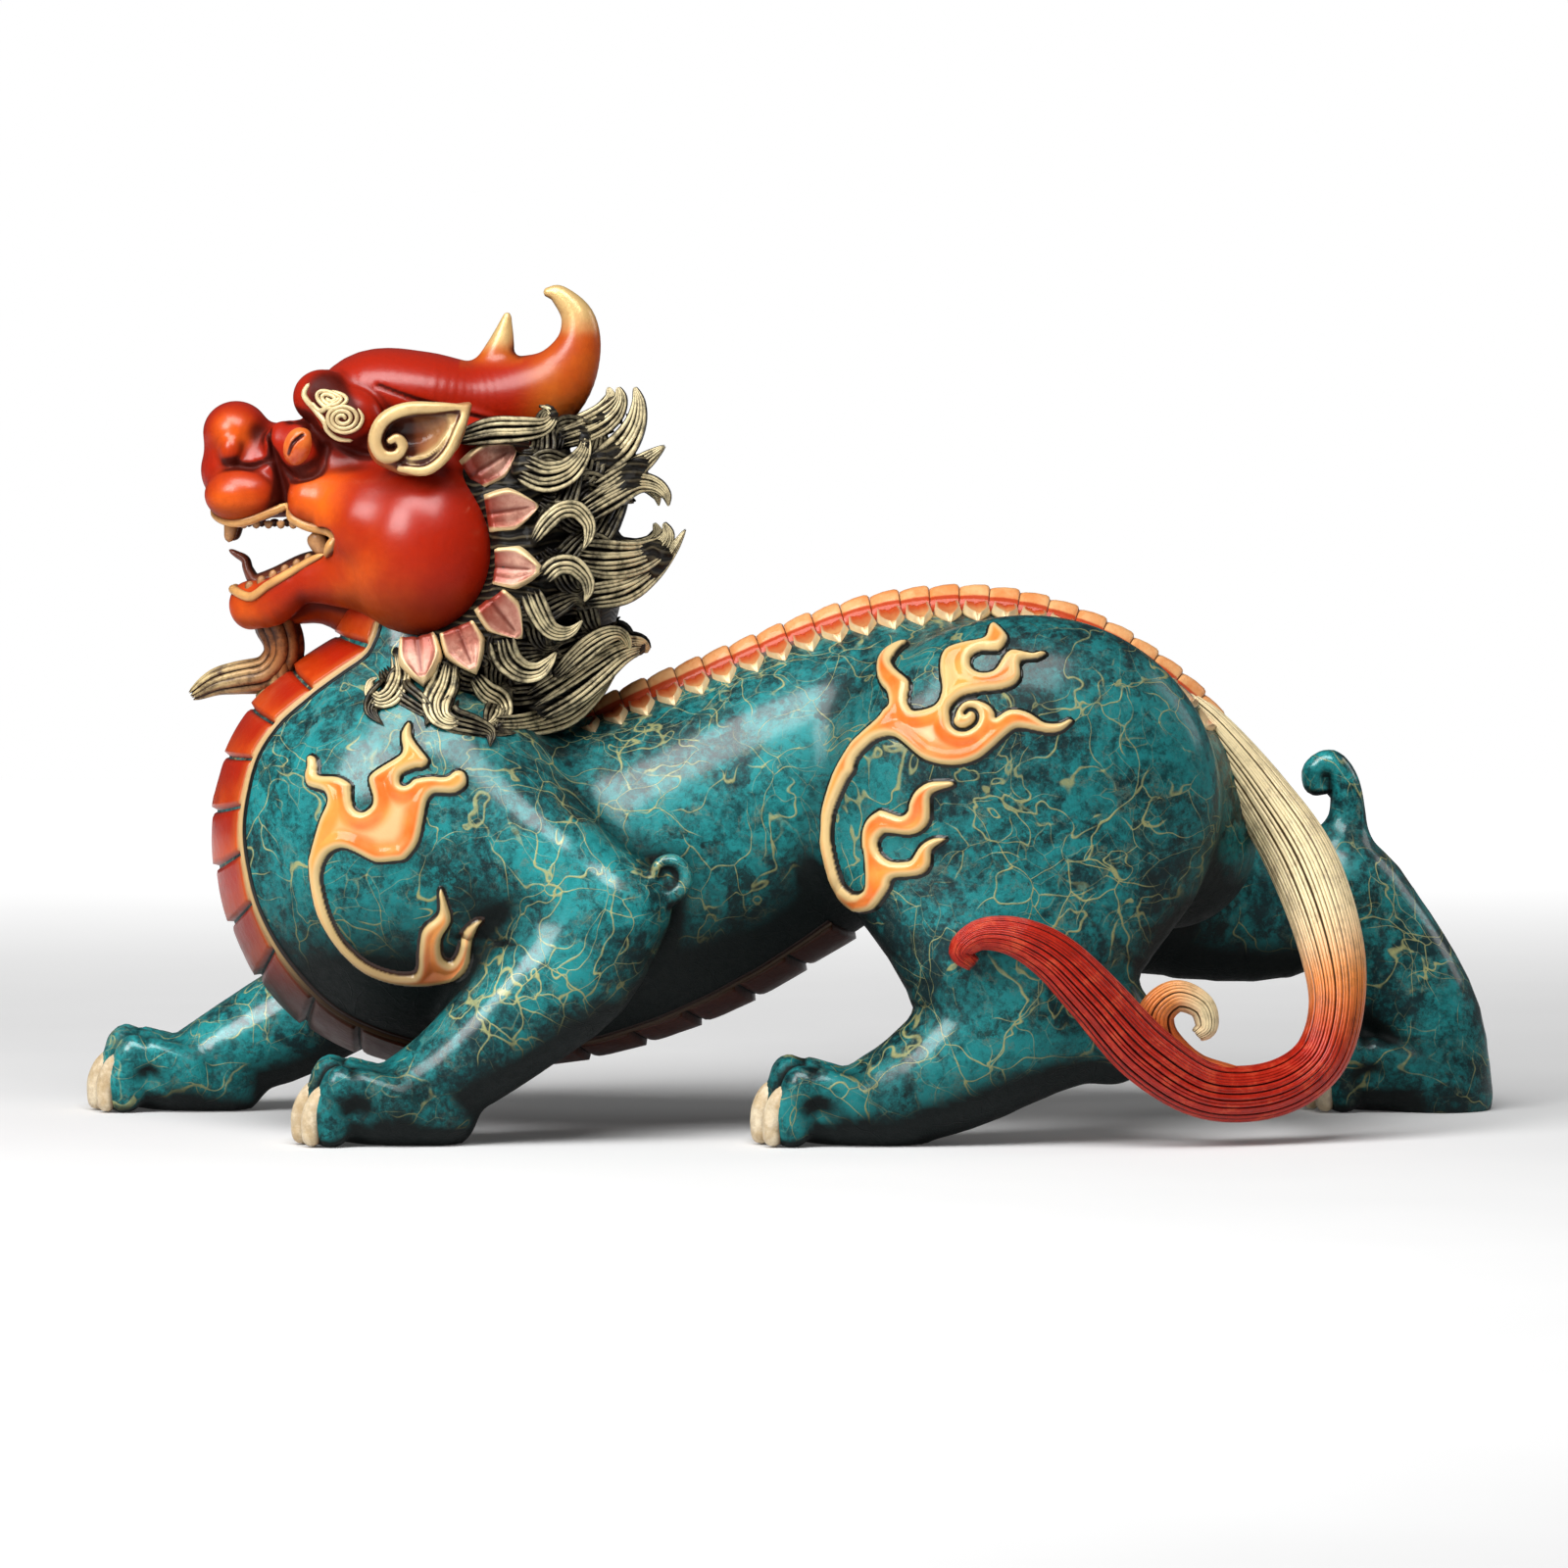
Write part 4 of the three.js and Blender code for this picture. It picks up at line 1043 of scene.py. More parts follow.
def hair(s, groove, ridge, tip=None):
    """Ropes of strands: the groove's colour between them, the ridge's on their backs, and the tip's; partly
    the paint's two tones, partly painted light and shade.
    """
    crest = s.kept("crest")
    streak = s.noise(260, 5, 0.7).ramp(0.25, 0.75)
    ridge = s.kept("along").ramp(0.25, 0.95).mix(ridge, tip) if tip else ridge
    # Partly paint, partly painted light and shade: ridge colour on the strands' outer sides, groove colour
    # between them and towards their roots.
    strand_paint_and_light = (crest.ramp(0.66, 1.0) * (0.3 + 0.8 * streak) * s.kept("along").ramp(-0.3, 0.35)).ramp(0.12, 0.8)
    colour = strand_paint_and_light.mix(groove, ridge)
    return {
        "Base Color": colour,
        "Roughness": 0.34 + 0.2 * streak,
        "Metallic": 0.1 + 0.15 * strand_paint_and_light,
        "Coat Weight": 0.15,
        "bump": (streak, 0.12),
    }


beard_hair = finish(
    "beard_brown", lambda s: hair(s, (0.03, 0.008, 0.004), (0.34, 0.12, 0.035), (0.55, 0.42, 0.2))
)
parts = strands(BEARD, (0, 1, 0), 11, seed=3) + strands(ROOT, (0, 1, 0), 9, seed=4)
core = [
    tube([[x, y, z, 0.8 * w, 0.8 * d] for x, y, z, d, w in line], (0, -1, 0), sides=14)
    for line in (BEARD, ROOT)
]
# The cores take the groove colour: painted shade between the strands.
core = [(p, q, 0 * c, a) for p, q, c, a in core]
points, quads, crest, along = gather(parts + core)
piece("beard", points, quads, beard_hair, crest=crest, along=along)


# The mane is a dome of curled locks behind the cheeks, with longer ones flagged out behind it. Each lock
# lies on the dome and is given as [x, z, half width] from its root to its tip, with how many strands it
# has.
MANE = {"x": -75.5, "z": 141.5, "deep": 34, "wide": 38, "high": 38.5}


def mane_depth(x, z, lift):
    a = (x - MANE["x"]) / (MANE["deep"] * 1.25)
    b = (z - MANE["z"]) / (MANE["high"] * 1.25)
    return -(MANE["wide"] + lift) * np.sqrt(np.maximum(0.03, 1 - a * a - b * b))


CURLS = [
    (
        [
            [-82.5, 176.1, 2.5], [-75.2, 177.8, 3.7], [-67.8, 178, 3.4], [-62.4, 178.5, 2.5],
            [-60, 180.7, 1.5], [-61, 183, 1], [-63.2, 183.7, 0.5],
        ],
        5,
    ),
    (
        [
            [-67.1, 168.5, 4.2], [-61.7, 166.3, 4.4], [-56.3, 167.5, 3.7], [-52.6, 171.4, 2.5],
            [-51.6, 174.9, 1.5], [-52.6, 177.3, 0.5],
        ],
        6,
    ),
    (
        [
            [-64.1, 150.3, 1.5], [-61.2, 154.5, 2.5], [-57.5, 157.7, 2.5], [-53.6, 157.9, 2.5],
            [-50.6, 154.5, 2], [-50.6, 150.8, 1.5], [-51.9, 148.1, 0.5],
        ],
        4,
    ),
    (
        [
            [-61.4, 141, 2.5], [-58.5, 143.7, 2.7], [-54.6, 143.9, 2.7], [-51.4, 141, 2.2],
            [-50.6, 137.8, 1.7], [-51.6, 134.8, 0.5],
        ],
        4,
    ),
    (
        [
            [-64.9, 137.5, 2.9], [-62.9, 132.6, 3.2], [-60.5, 128.4, 2.7], [-57.5, 127, 2.2],
            [-54.6, 127.7, 1.5], [-52.1, 130.2, 0.5],
        ],
        5,
    ),
    (
        [
            [-72.2, 125.7, 3.7], [-70.8, 120.8, 3.9], [-67.3, 117.6, 3.4], [-63.4, 117.4, 2.7],
            [-60.5, 119.8, 1.7], [-58.7, 122.3, 0.7],
        ],
        5,
    ),
    (
        [
            [-98.7, 121.8, 2], [-97.7, 116.4, 2.7], [-99.5, 112, 2.7], [-102.6, 110.5, 2.2],
            [-105.3, 112.2, 1.5], [-105.3, 114.7, 1], [-103.6, 115.9, 0.5],
        ],
        5,
    ),
    (
        [
            [-85.7, 119.4, 2.7], [-86.7, 114.4, 3.7], [-88.4, 109.8, 3.9], [-87.2, 106.3, 2.9],
            [-84.2, 105.1, 2], [-81.6, 106.8, 0.7],
        ],
        6,
    ),
    (
        [
            [-79.1, 115.9, 2], [-76.4, 112.2, 2.9], [-73.2, 110, 3.2], [-72, 107.1, 2.5],
            [-73.9, 104.9, 1.7], [-76.9, 103.9, 0.7],
        ],
        5,
    ),
]
FLAGS = [
    (
        [
            [-57.7, 175.5, 3.2], [-50.4, 178.2, 3.9], [-45.4, 181.7, 3.2], [-43.2, 185.4, 2],
            [-43.7, 188.6, 1],
        ],
        6,
    ),
    ([[-48.9, 169.1, 3.7], [-43, 173.3, 3.9], [-39.5, 178.7, 3], [-38.5, 184.2, 2], [-39.5, 188.6, 1]], 5),
    ([[-48.4, 162.2, 3], [-42, 166.4, 3.2], [-36.6, 170.1, 2.5], [-31.9, 173.6, 1]], 5),
    (
        [
            [-51.3, 157.5, 3.4], [-44.7, 161.5, 3.7], [-39, 164.2, 3], [-34.4, 163.7, 2.2],
            [-31.6, 161.2, 1.5], [-30.9, 158.3, 0.5],
        ],
        6,
    ),
    (
        [
            [-53.3, 146.2, 4.9], [-45.9, 145.2, 5.7], [-38.5, 145.7, 4.7], [-33.1, 148.2, 3],
            [-31.2, 151.1, 2], [-32.1, 154.1, 1],
        ],
        8,
    ),
    (
        [
            [-50.9, 135.8, 3.9], [-42.2, 137.3, 4.2], [-35.6, 141.2, 3], [-30.2, 146.9, 1.7],
            [-26.7, 152.3, 0.7],
        ],
        6,
    ),
    (
        [
            [-64.4, 108.2, 5.4], [-56.3, 113.1, 5.9], [-49.6, 117.8, 5.4], [-43.5, 121.8, 4.2],
            [-38.5, 123, 3], [-35.8, 121.5, 1.5],
        ],
        8,
    ),
    (
        [
            [-58.7, 116.1, 2.2], [-52.8, 121.8, 3], [-47.6, 125.5, 2.7], [-43.5, 126.5, 2],
            [-41.2, 124, 1.5], [-41.7, 120.8, 0.7],
        ],
        5,
    ),
    (
        [[-74.2, 104.3, 2.2], [-65.6, 103.8, 3.4], [-57, 106.2, 4.2], [-50.1, 110.9, 3], [-44.9, 115.1, 1]],
        6,
    ),
]


# Shorter locks fill the gaps between those, in two rings that wind out from behind the cheek.
FILLERS = []
for ring, (first, last, top, low, count) in enumerate(((34, 48, 34, -100, 14), (42, 57, 30, -74, 12))):
    for i, turn in enumerate(np.radians(np.linspace(top, low, count))):
        t = np.linspace(0, 1, 6)
        far = first + (last - first) * t
        sway = turn + (0.07 if (i + ring) % 2 else -0.07) * np.sin(6 * t) + 0.08 * t * t
        wide = 3.6 * np.sin(math.pi * (0.2 + 0.78 * t)) + 0.2
        FILLERS.append(
            (
                np.column_stack([-96 + far * np.cos(sway), 152 + far * np.sin(sway), wide]).tolist(),
                5,
                -3.5 - 3 * ring,
            )
        )


def lock(stations, count, lift, thick, middle=None, seed=1, sides=8):
    """A lock's strands side by side, humped over the lock's own middle line, as parts."""
    line = np.array([[x, 0, z, half, 0] for x, z, half in stations], float)
    s = smooth(line, 5 * (len(line) - 1))
    along = np.gradient(s[:, [0, 2]], axis=0)
    along /= np.linalg.norm(along, axis=1)[:, None]
    side = np.column_stack([-along[:, 1], along[:, 0]])
    t = np.linspace(0, 1, len(s))
    base = mane_depth(s[:, 0], s[:, 2], lift) if middle is None else np.full(len(s), float(middle))
    if middle is None:
        skin = under.flank(s[:, 0], s[:, 2])
        base = np.fmin(base, skin - 0.4 * lift * (lift > 0))
    base = np.convolve(np.pad(base, 2, mode="edge"), np.ones(5) / 5, mode="valid")
    dice = np.random.default_rng(seed)
    parts = []
    for i in range(count):
        over = (2 * i + 1) / count - 1
        sway = 0.1 * np.sin(4 * t + dice.uniform(0, 6))
        x, z = (
            (s[:, [0, 2]] + side * (s[:, 3] * (0.9 * over * (1 - 0.6 * t**6) + sway * (1 - t)))[:, None]).T
        )
        hump = thick * (1 - 0.55 * t) * math.sqrt(1 - 0.8 * over * over) + dice.uniform(-0.3, 0.5)
        half = s[:, 3] / count * (0.74 + 0.2 * (abs(over) > 0.7) + dice.uniform(-0.1, 0.1)) + 0.12
        bent = np.column_stack([x, base - 0.7 * hump, z, 1.5 * half, half])
        parts.append(tube(bent, (0.12, -1, 0.1), sides=sides, steps=len(s) - 1, blunt=0.14))
    return parts


def tangle(s):
    """Thin strands that wind through the black between the locks."""
    waves = {"Scale": 150, "Distortion": 18, "Detail": 2, "Detail Scale": 0.3, "Detail Roughness": 0.5}
    strand = s.node(
        "ShaderNodeTexWave",
        {**waves, "Vector": s.node("ShaderNodeTexCoord", output="Object")},
        bands_direction="Z",
    )
    streak = s.noise(200, 5, 0.7).ramp(0.35, 0.7)
    # Painted shade dims the strands in the core's hollows and underneath.
    strand_paint_and_light = strand.ramp(0.6, 1.0) * (0.25 + 0.6 * streak) * (1 - s.kept("shade"))
    return {
        "Base Color": strand_paint_and_light.mix((0.005, 0.004, 0.003), (0.14, 0.11, 0.06)),
        "Roughness": 0.45 + 0.2 * streak,
        "Coat Weight": 0.1,
        "bump": (strand, 0.5),
    }


dome = Clay()
dome.ball((MANE["x"], 0, MANE["z"]), (MANE["deep"] - 1, MANE["wide"] - 1, MANE["high"] - 1), melt=2)
dome.both("ball", (-97, -42, 147.5), (25, 24, 26), melt=3, cut=True)
under = Clay()
under.forms = dome.forms + body.forms
parts = []
for i, (stations, count) in enumerate(CURLS):
    core = [[x, mane_depth(x, z, -2), z, 0.8 * h, 3] for x, z, h in stations]
    dome.both("limb", core, melt=2)
    parts += lock(stations, count, 1.6, 3.6, seed=i)
for i, (stations, count) in enumerate(FLAGS):
    core = [
        [x, mane_depth(x, z, -7), z, 0.85 * h, 4 - 0.5 * j] for j, (x, z, h) in enumerate(stations[:-1])
    ]
    dome.both("limb", core, melt=2)
    parts += lock(stations, count, -3, 4.4, seed=20 + i)
filling = []
for i, (stations, count, lift) in enumerate(FILLERS):
    filling += lock(stations, count, lift, 3, seed=60 + i, sides=6)
parts = twins(parts)
for i, k in enumerate((0, 3, 4, 6)):
    stations, count = FLAGS[k]
    stations = [[x - 2.5, z, h] for x, z, h in stations]
    dome.limb([[x, 0, z, 0.9 * h, 6 - j] for j, (x, z, h) in enumerate(stations[:-1])], melt=3)
    parts += lock(stations, count, 0, 4, middle=-1.5, seed=40 + i)

mane_hair = finish("mane_black_gold", lambda s: hair(s, (0.005, 0.003, 0.002), (0.76, 0.64, 0.38)))
points, quads, crest, along = gather(parts)
piece("mane_locks", points, quads, mane_hair, crest=crest, along=along)
# The short locks lie under the others and take less of the ridge colour: painted shade.
points, quads, crest, along = gather(twins(filling))
piece("mane_short_locks", points, quads, mane_hair, crest=0.86 * crest, along=along)
MANE_STEP = 1.3
points, quads = dome.skin((-114, -46, 98), (-24, 46, 196), MANE_STEP)
piece("mane_core", points, quads, finish("mane_deep", tangle), shade=shaded(dome, points, 0.3, 0.4)[0])


# Six pink petals with gilt edges fringe either cheek, cast over the roots of the mane. A leaf is a
# pointed blade with raised edges and a crease down it.
def leaf(root, way, out, length, half, thick=1.3, rows=12, columns=10):
    """A leaf's points, quads, and rim: 1 along its edges and 0 inside."""
    root, way, out = (np.asarray(v, float) for v in (root, way, out))
    way = way / np.linalg.norm(way)
    out = out - (out @ way) * way
    out /= np.linalg.norm(out)
    side = np.cross(out, way)
    u, v = np.meshgrid(np.linspace(0, 1, rows), np.linspace(-1, 1, columns), indexing="ij")
    shape = np.where(
        u < 0.45, 0.84 + 0.16 * np.sin(u / 0.45 * math.pi / 2), 1 - (np.maximum(u - 0.45, 0) / 0.55) ** 1.35
    )
    edge = np.maximum(abs(v), fade(u, 0.75, 1.0))
    height = thick * (0.7 + 0.4 * fade(edge, 0.5, 0.85) - 0.5 * np.exp(-((v / 0.14) ** 2)) * (1 - u))
    height = np.where((abs(v) > 0.95) | (u > 0.97) | (u < 0.02), -1.6, height)
    at = root + (u * length)[..., None] * way + (
        v * half * (shape + 0.02)
    )[..., None] * side + height[..., None] * out
    return at.reshape(-1, 3), wrap(rows, columns, False), edge.ravel(), u.ravel()


PETALS = [
    (-80, 166.5, -69.3, 173.2),
    (-76, 157, -62.8, 159),
    (-74.5, 143.8, -62, 143),
    (-75.5, 135.8, -67.2, 125.6),
    (-83.8, 129, -78.8, 117),
    (-93.6, 126.5, -91.8, 114.5),
]
under.forms = dome.forms + body.forms + head.forms
parts = []
for x0, z0, x1, z1 in PETALS:
    ends = np.array([[x0, 0, z0], [x1, 0, z1]], float)
    ends[:, 1] = under.flank(ends[:, 0], ends[:, 2]) - (1.0, 3.6)
    way = ends[1] - ends[0]
    out = np.array([0.2 * way[0] / 12, -1, 0.2 * way[2] / 12])
    parts.append(leaf(ends[0], way, out, np.linalg.norm(way), 5.5, 1.8, rows=16, columns=15))


def pink(s):
    rim = s.kept("rim")
    worn = s.noise(170, 5, 0.7).ramp(0.3, 0.7)
    colour = (
        (s.kept("along").ramp(0.0, 0.6) * (0.3 + 0.7 * worn)).mix((0.24, 0.025, 0.012), (0.66, 0.37, 0.27))
    )
    colour = (rim.ramp(0.2, 0.0) * 0.8).mix(colour, (0.12, 0.015, 0.008))
    colour = (rim.ramp(0.66, 0.88) * (0.7 + 0.3 * worn)).mix(colour, (0.76, 0.58, 0.3))
    return {
        "Base Color": colour,
        "Roughness": 0.32 + 0.15 * worn,
        "Metallic": 0.3,
        "Coat Weight": 0.25,
        "bump": (worn, 0.1),
    }


points, quads, rim, along = gather(twins(parts))
piece("petals", points, quads, finish("petal_pink", pink), rim=rim, along=along)

# The belly is armoured from the throat to the groin with nineteen broad plates, each lapping over the
# next, between two raised borders. They follow the body's skin.
PLATES, ROWS = 19, 16
GIRTH = 46
BELLY = [
    [-106, 137.5],
    [-111.5, 131],
    [-116, 123.5],
    [-127.5, 116],
    [-137, 109.5],
    [-145.5, 98],
    [-148.5, 80],
    [-146, 65],
    [-139.5, 50.5],
    [-128, 37.5],
    [-115.5, 26],
    [-99, 18.5],
    [-81.5, 15],
    [-61.5, 16.5],
    [-41.5, 21],
    [-26.5, 27],
    [-11.5, 35],
    [3.5, 43.8],
    [15, 52.5],
]


def even(line, count):
    """Points of the side plane evenly spaced along a smooth line, with the ways along and out of it."""
    s = smooth([[x, 0, z] for x, z in line], 400)
    run = np.concatenate([[0], np.cumsum(np.linalg.norm(np.diff(s, axis=0), axis=1))])
    at = np.column_stack([np.interp(np.linspace(0, run[-1], count), run, s[:, k]) for k in range(3)])
    along = np.gradient(at, axis=0)
    along /= np.linalg.norm(along, axis=1)[:, None]
    return at, along, np.column_stack([along[:, 2], 0 * along[:, 0], -along[:, 0]])


at, along, out = even(BELLY, PLATES * ROWS + 1)
part = (np.arange(len(at)) % ROWS) / ROWS
u = np.arange(len(at)) / (len(at) - 1)
half = 23 + 8.4 * np.sin(math.pi * np.minimum(1, 1.25 * u + 0.1))
v = np.concatenate([np.linspace(0, 0.82, 18), np.linspace(0.84, 1, 17)])
v = np.concatenate([-v[:0:-1], v])
turn = v[None, :] * (half / GIRTH)[:, None]
band = at[:, None] + GIRTH * (np.cos(turn) - 1)[..., None] * out[:, None]
band[..., 1] = GIRTH * np.sin(turn)
bow = -3.4 * (v**2)[None, :, None] * along[:, None]
skin = body.settle((band + bow).reshape(-1, 3))
lap = 0.5 + 1.1 * fade(part, 0.0, 0.15) * (0.45 + 0.55 * part) - 1.1 * (part < 0.03)
edge = fade(abs(v), 0.895, 0.91)
border = 0.3 + 0.7 * np.exp(-(((abs(v) - 0.93) / 0.016) ** 2)) - 2.4 * (abs(v) > 0.995)
height = lap[:, None] * (1 - edge) + border * edge
f, g = body.slope(skin)
points = skin + height.reshape(-1, 1) * g / np.linalg.norm(g, axis=1)[:, None]
joint = np.exp(-((np.minimum(part, 1 - part) / 0.045) ** 2))[:, None] * (1 - edge)
lip = np.broadcast_to((fade(part, 0.3, 0.95) * (part < 0.97))[:, None], height.shape)
ways = np.broadcast_to(abs(v), height.shape)


def scute(s):
    lip, way = s.kept("lip"), s.kept("way")
    worn = s.noise(110, 5, 0.65).ramp(0.3, 0.7)
    colour = (lip * (0.3 + 0.5 * worn)).mix((0.38, 0.015, 0.002), (0.62, 0.08, 0.006))
    colour = (way.ramp(0.78, 0.9) * 0.4).mix(colour, (0.55, 0.12, 0.02))
    colour = s.kept("joint").mix(colour, (0.02, 0.002, 0.001))
    colour = way.ramp(0.895, 0.91).mix(colour, (0.55, 0.36, 0.16))
    colour = way.ramp(0.945, 0.96).mix(colour, (0.004, 0.006, 0.006))
    # Painted shade darkens the plates where they face down.
    dark = s.kept("shade")
    colour = (dark * 0.95).mix(colour, (0.015, 0.004, 0.002))
    return {
        "Base Color": colour,
        "Roughness": 0.3 + 0.15 * worn,
        "Coat Weight": 0.3 * (1 - dark),
        "Coat Roughness": 0.2,
        "bump": (worn, 0.12),
    }


piece(
    "belly_plates",
    points,
    wrap(len(at), len(v), False)[:, ::-1],
    finish("plate_red", scute),
    lip=lip.ravel(),
    joint=np.clip(joint, 0, 1).ravel(),
    way=ways.ravel(),
    # Painted shade, where the plates face down.
    shade=fade(-g[:, 2] / np.linalg.norm(g, axis=1), 0.05, 0.7),
)

# Twenty-four roof-like tiles ride the spine, each higher at its rear edge, and below each a leaf-shaped
# scale hangs down either flank.
SPINE = [
    [-56, 101.5],
    [-41.5, 108.5],
    [-26.5, 114.5],
    [-11.5, 120.5],
    [3.5, 126.5],
    [18.5, 131.3],
    [33.5, 133.8],
    [48.5, 134.2],
    [63.5, 131.8],
    [78.5, 126.3],
    [91, 118.6],
    [101, 110.5],
    [108, 102.5],
]
TILES = 24
TILE_SECTION = [
    (-5.4, -2.5), (-5, 0.2), (-4.2, 0.9), (-3.4, 1.6), (-2.6, 3.2), (-1.4, 3.9), (0, 4), (1.4, 3.9),
    (2.6, 3.2), (3.4, 1.6), (4.2, 0.9), (5, 0.2), (5.4, -2.5),
]
TILE_RUN = [
    (0.0, 0.1), (0.03, 0.8), (0.2, 0.9), (0.5, 1.0), (0.85, 1.04), (0.95, 0.98), (0.985, 0.84), (1.0, 0.1)
]
at, along, out = even(SPINE, 20 * TILES + 1)
up = -out
tiles, scales = [], []
for i in range(TILES):
    rings = []
    for part, rise in TILE_RUN:
        k = min(int(round(20 * (i + part))), 20 * TILES)
        for y, z in TILE_SECTION:
            rings.append(
                at[k] + up[k] * (
                    z * rise if z > 0 else z
                ) + np.array([0, y, 0]) + along[k] * 0.25 * (part - 0.5)
            )
    band = np.tile([abs(y) / 5.4 for y, z in TILE_SECTION], len(TILE_RUN))
    ends = np.repeat([part for part, _ in TILE_RUN], len(TILE_SECTION))
    tiles.append((np.array(rings), wrap(len(TILE_RUN), len(TILE_SECTION), False)[:, ::-1], band, ends))
    k = 20 * i + 11
    root = at[k] - up[k] * 0.6 + np.array([0, -4.6, 0])
    tip = body.settle([root + np.array([0, -11, 0]) - up[k] * 5 + along[k] * 0.8], 0.9)[0]
    scales.append(
        leaf(
            root,
            tip - root,
            np.array([0, -0.5, 0]) + up[k],
            1.04 * np.linalg.norm(tip - root),
            3.6,
            1.1,
            rows=12,
            columns=11,
        )
    )


def roofing(s):
    low, end = s.kept("low"), s.kept("end")
    worn = s.noise(150, 5, 0.65).ramp(0.3, 0.7)
    colour = (worn * 0.8).mix((0.7, 0.24, 0.07), (0.8, 0.46, 0.2))
    colour = (low.ramp(0.6, 0.72) * 0.95).mix(colour, (0.46, 0.04, 0.008))
    colour = end.ramp(0.95, 0.99).mix(colour, (0.08, 0.012, 0.006))
    colour = end.ramp(0.03, 0.0).mix(colour, (0.1, 0.012, 0.006))
    return {
        "Base Color": colour,
        "Roughness": 0.33 + 0.15 * worn,
        "Metallic": 0.05,
        "Coat Weight": 0.3,
        "bump": (worn, 0.12),
    }


points, quads, low, end = gather(tiles)
piece("spine_tiles", points, quads, finish("tile_orange", roofing), low=low, end=end)


def scale(s):
    rim = s.kept("rim")
    worn = s.noise(170, 5, 0.65).ramp(0.3, 0.7)
    colour = (
        (s.kept("along").ramp(0.15, 0.75) * (0.4 + 0.6 * worn)).mix((0.6, 0.07, 0.01), (0.8, 0.4, 0.15))
    )
    colour = (rim.ramp(0.6, 0.85) * (0.7 + 0.3 * worn)).mix(colour, (0.7, 0.56, 0.32))
    colour = rim.ramp(0.93, 0.99).mix(colour, (0.01, 0.008, 0.006))
    return {
        "Base Color": colour,
        "Roughness": 0.33 + 0.15 * worn,
        "Metallic": 0.3,
        "Coat Weight": 0.2,
        "bump": (worn, 0.1),
    }


points, quads, rim, along_leaf = gather(twins(scales))
piece("spine_scales", points, quads, finish("scale_gilt", scale), rim=rim, along=along_leaf)

# Flames stand in relief on the shoulders and haunches, with a rounded gilt edge, an orange middle and a
# thin dark line round them, partly a painted outline and partly painted shade at the relief's foot; painted
# shade darkens them where they face down. Each is given by its outline in the side plane, and the
# haunch's has a curl cut into it.
SHOULDER_FLAME = [
    (-119.5, 96.5), (-120.5, 95.7), (-120.4, 93.7), (-120.9, 91.9), (-120.8, 90.3), (-119.9, 88.9),
    (-116.7, 88.1), (-115.6, 87.4), (-115.1, 86), (-115.4, 84.2), (-117.2, 80.2), (-119.5, 72.1),
    (-119.9, 69.9), (-119.4, 64.1), (-117.9, 57.3), (-114.7, 51.3), (-111, 46.6), (-106.3, 42.6),
    (-100.2, 40.2), (-93.1, 39.4), (-85.8, 40.1), (-83.1, 40.8), (-80.9, 42.7), (-79.8, 45.1),
    (-79.4, 50.2), (-78, 54.2), (-76.7, 56), (-76.9, 56.4), (-78.5, 56), (-81.4, 53.5), (-82.5, 49.3),
    (-83.2, 47.3), (-84.3, 45.9), (-85.8, 45.9), (-87, 47.5), (-87, 51.5), (-84.9, 55.1), (-84.5, 56.9),
    (-84.9, 59.1), (-86.3, 63.4), (-87, 64.1), (-87.4, 62.7), (-87.2, 60.5), (-87.4, 58.3),
    (-88.5, 56.7), (-90.5, 55.1), (-91.9, 52.9), (-92.6, 47.9), (-92.7, 45.2), (-93.2, 43.2),
    (-94.6, 42.3), (-99.5, 42.5), (-105.8, 45), (-111.4, 50.2), (-114.9, 56.9), (-116.7, 63.6),
    (-117, 66.8), (-116.5, 69.5), (-115.4, 71.7), (-114, 73.1), (-111.6, 74), (-108.9, 73.4),
    (-104, 71), (-101.7, 70.6), (-98.6, 70.9), (-96.4, 71.2), (-95, 72.1), (-92.3, 76), (-90.8, 83.3),
    (-90.3, 85.6), (-89.4, 87.1), (-87.8, 87.8), (-83.6, 87.7), (-80.9, 89.4), (-80.6, 91),
    (-81.1, 92.5), (-82.3, 93.2), (-83.6, 93), (-85.2, 91.8), (-87, 91.6), (-89.2, 91.8), (-93.2, 91.2),
    (-94.6, 90.1), (-95.9, 89.5), (-97, 90.1), (-96.6, 92.3), (-93.2, 93.8), (-91.7, 93.9),
    (-90.5, 94.6), (-90.1, 95.7), (-90.8, 96.8), (-94.1, 101), (-94.6, 104.2), (-95.2, 104.8),
    (-96.1, 103.7), (-96.8, 102.2), (-96.8, 100.4), (-96.4, 98.6), (-96.8, 97.2), (-98.2, 96.1),
    (-102.2, 93.7), (-104, 92.3), (-104.8, 90.7), (-103.7, 86.9), (-103.7, 85.1), (-104.6, 83.8),
    (-106.2, 82.9), (-107.8, 83.3), (-108.8, 84.7), (-109.3, 88.3), (-109.4, 89.8), (-112.5, 91.4),
    (-116.9, 91.5), (-117.9, 92.3), (-117.9, 93.9), (-118.3, 95.7),
]
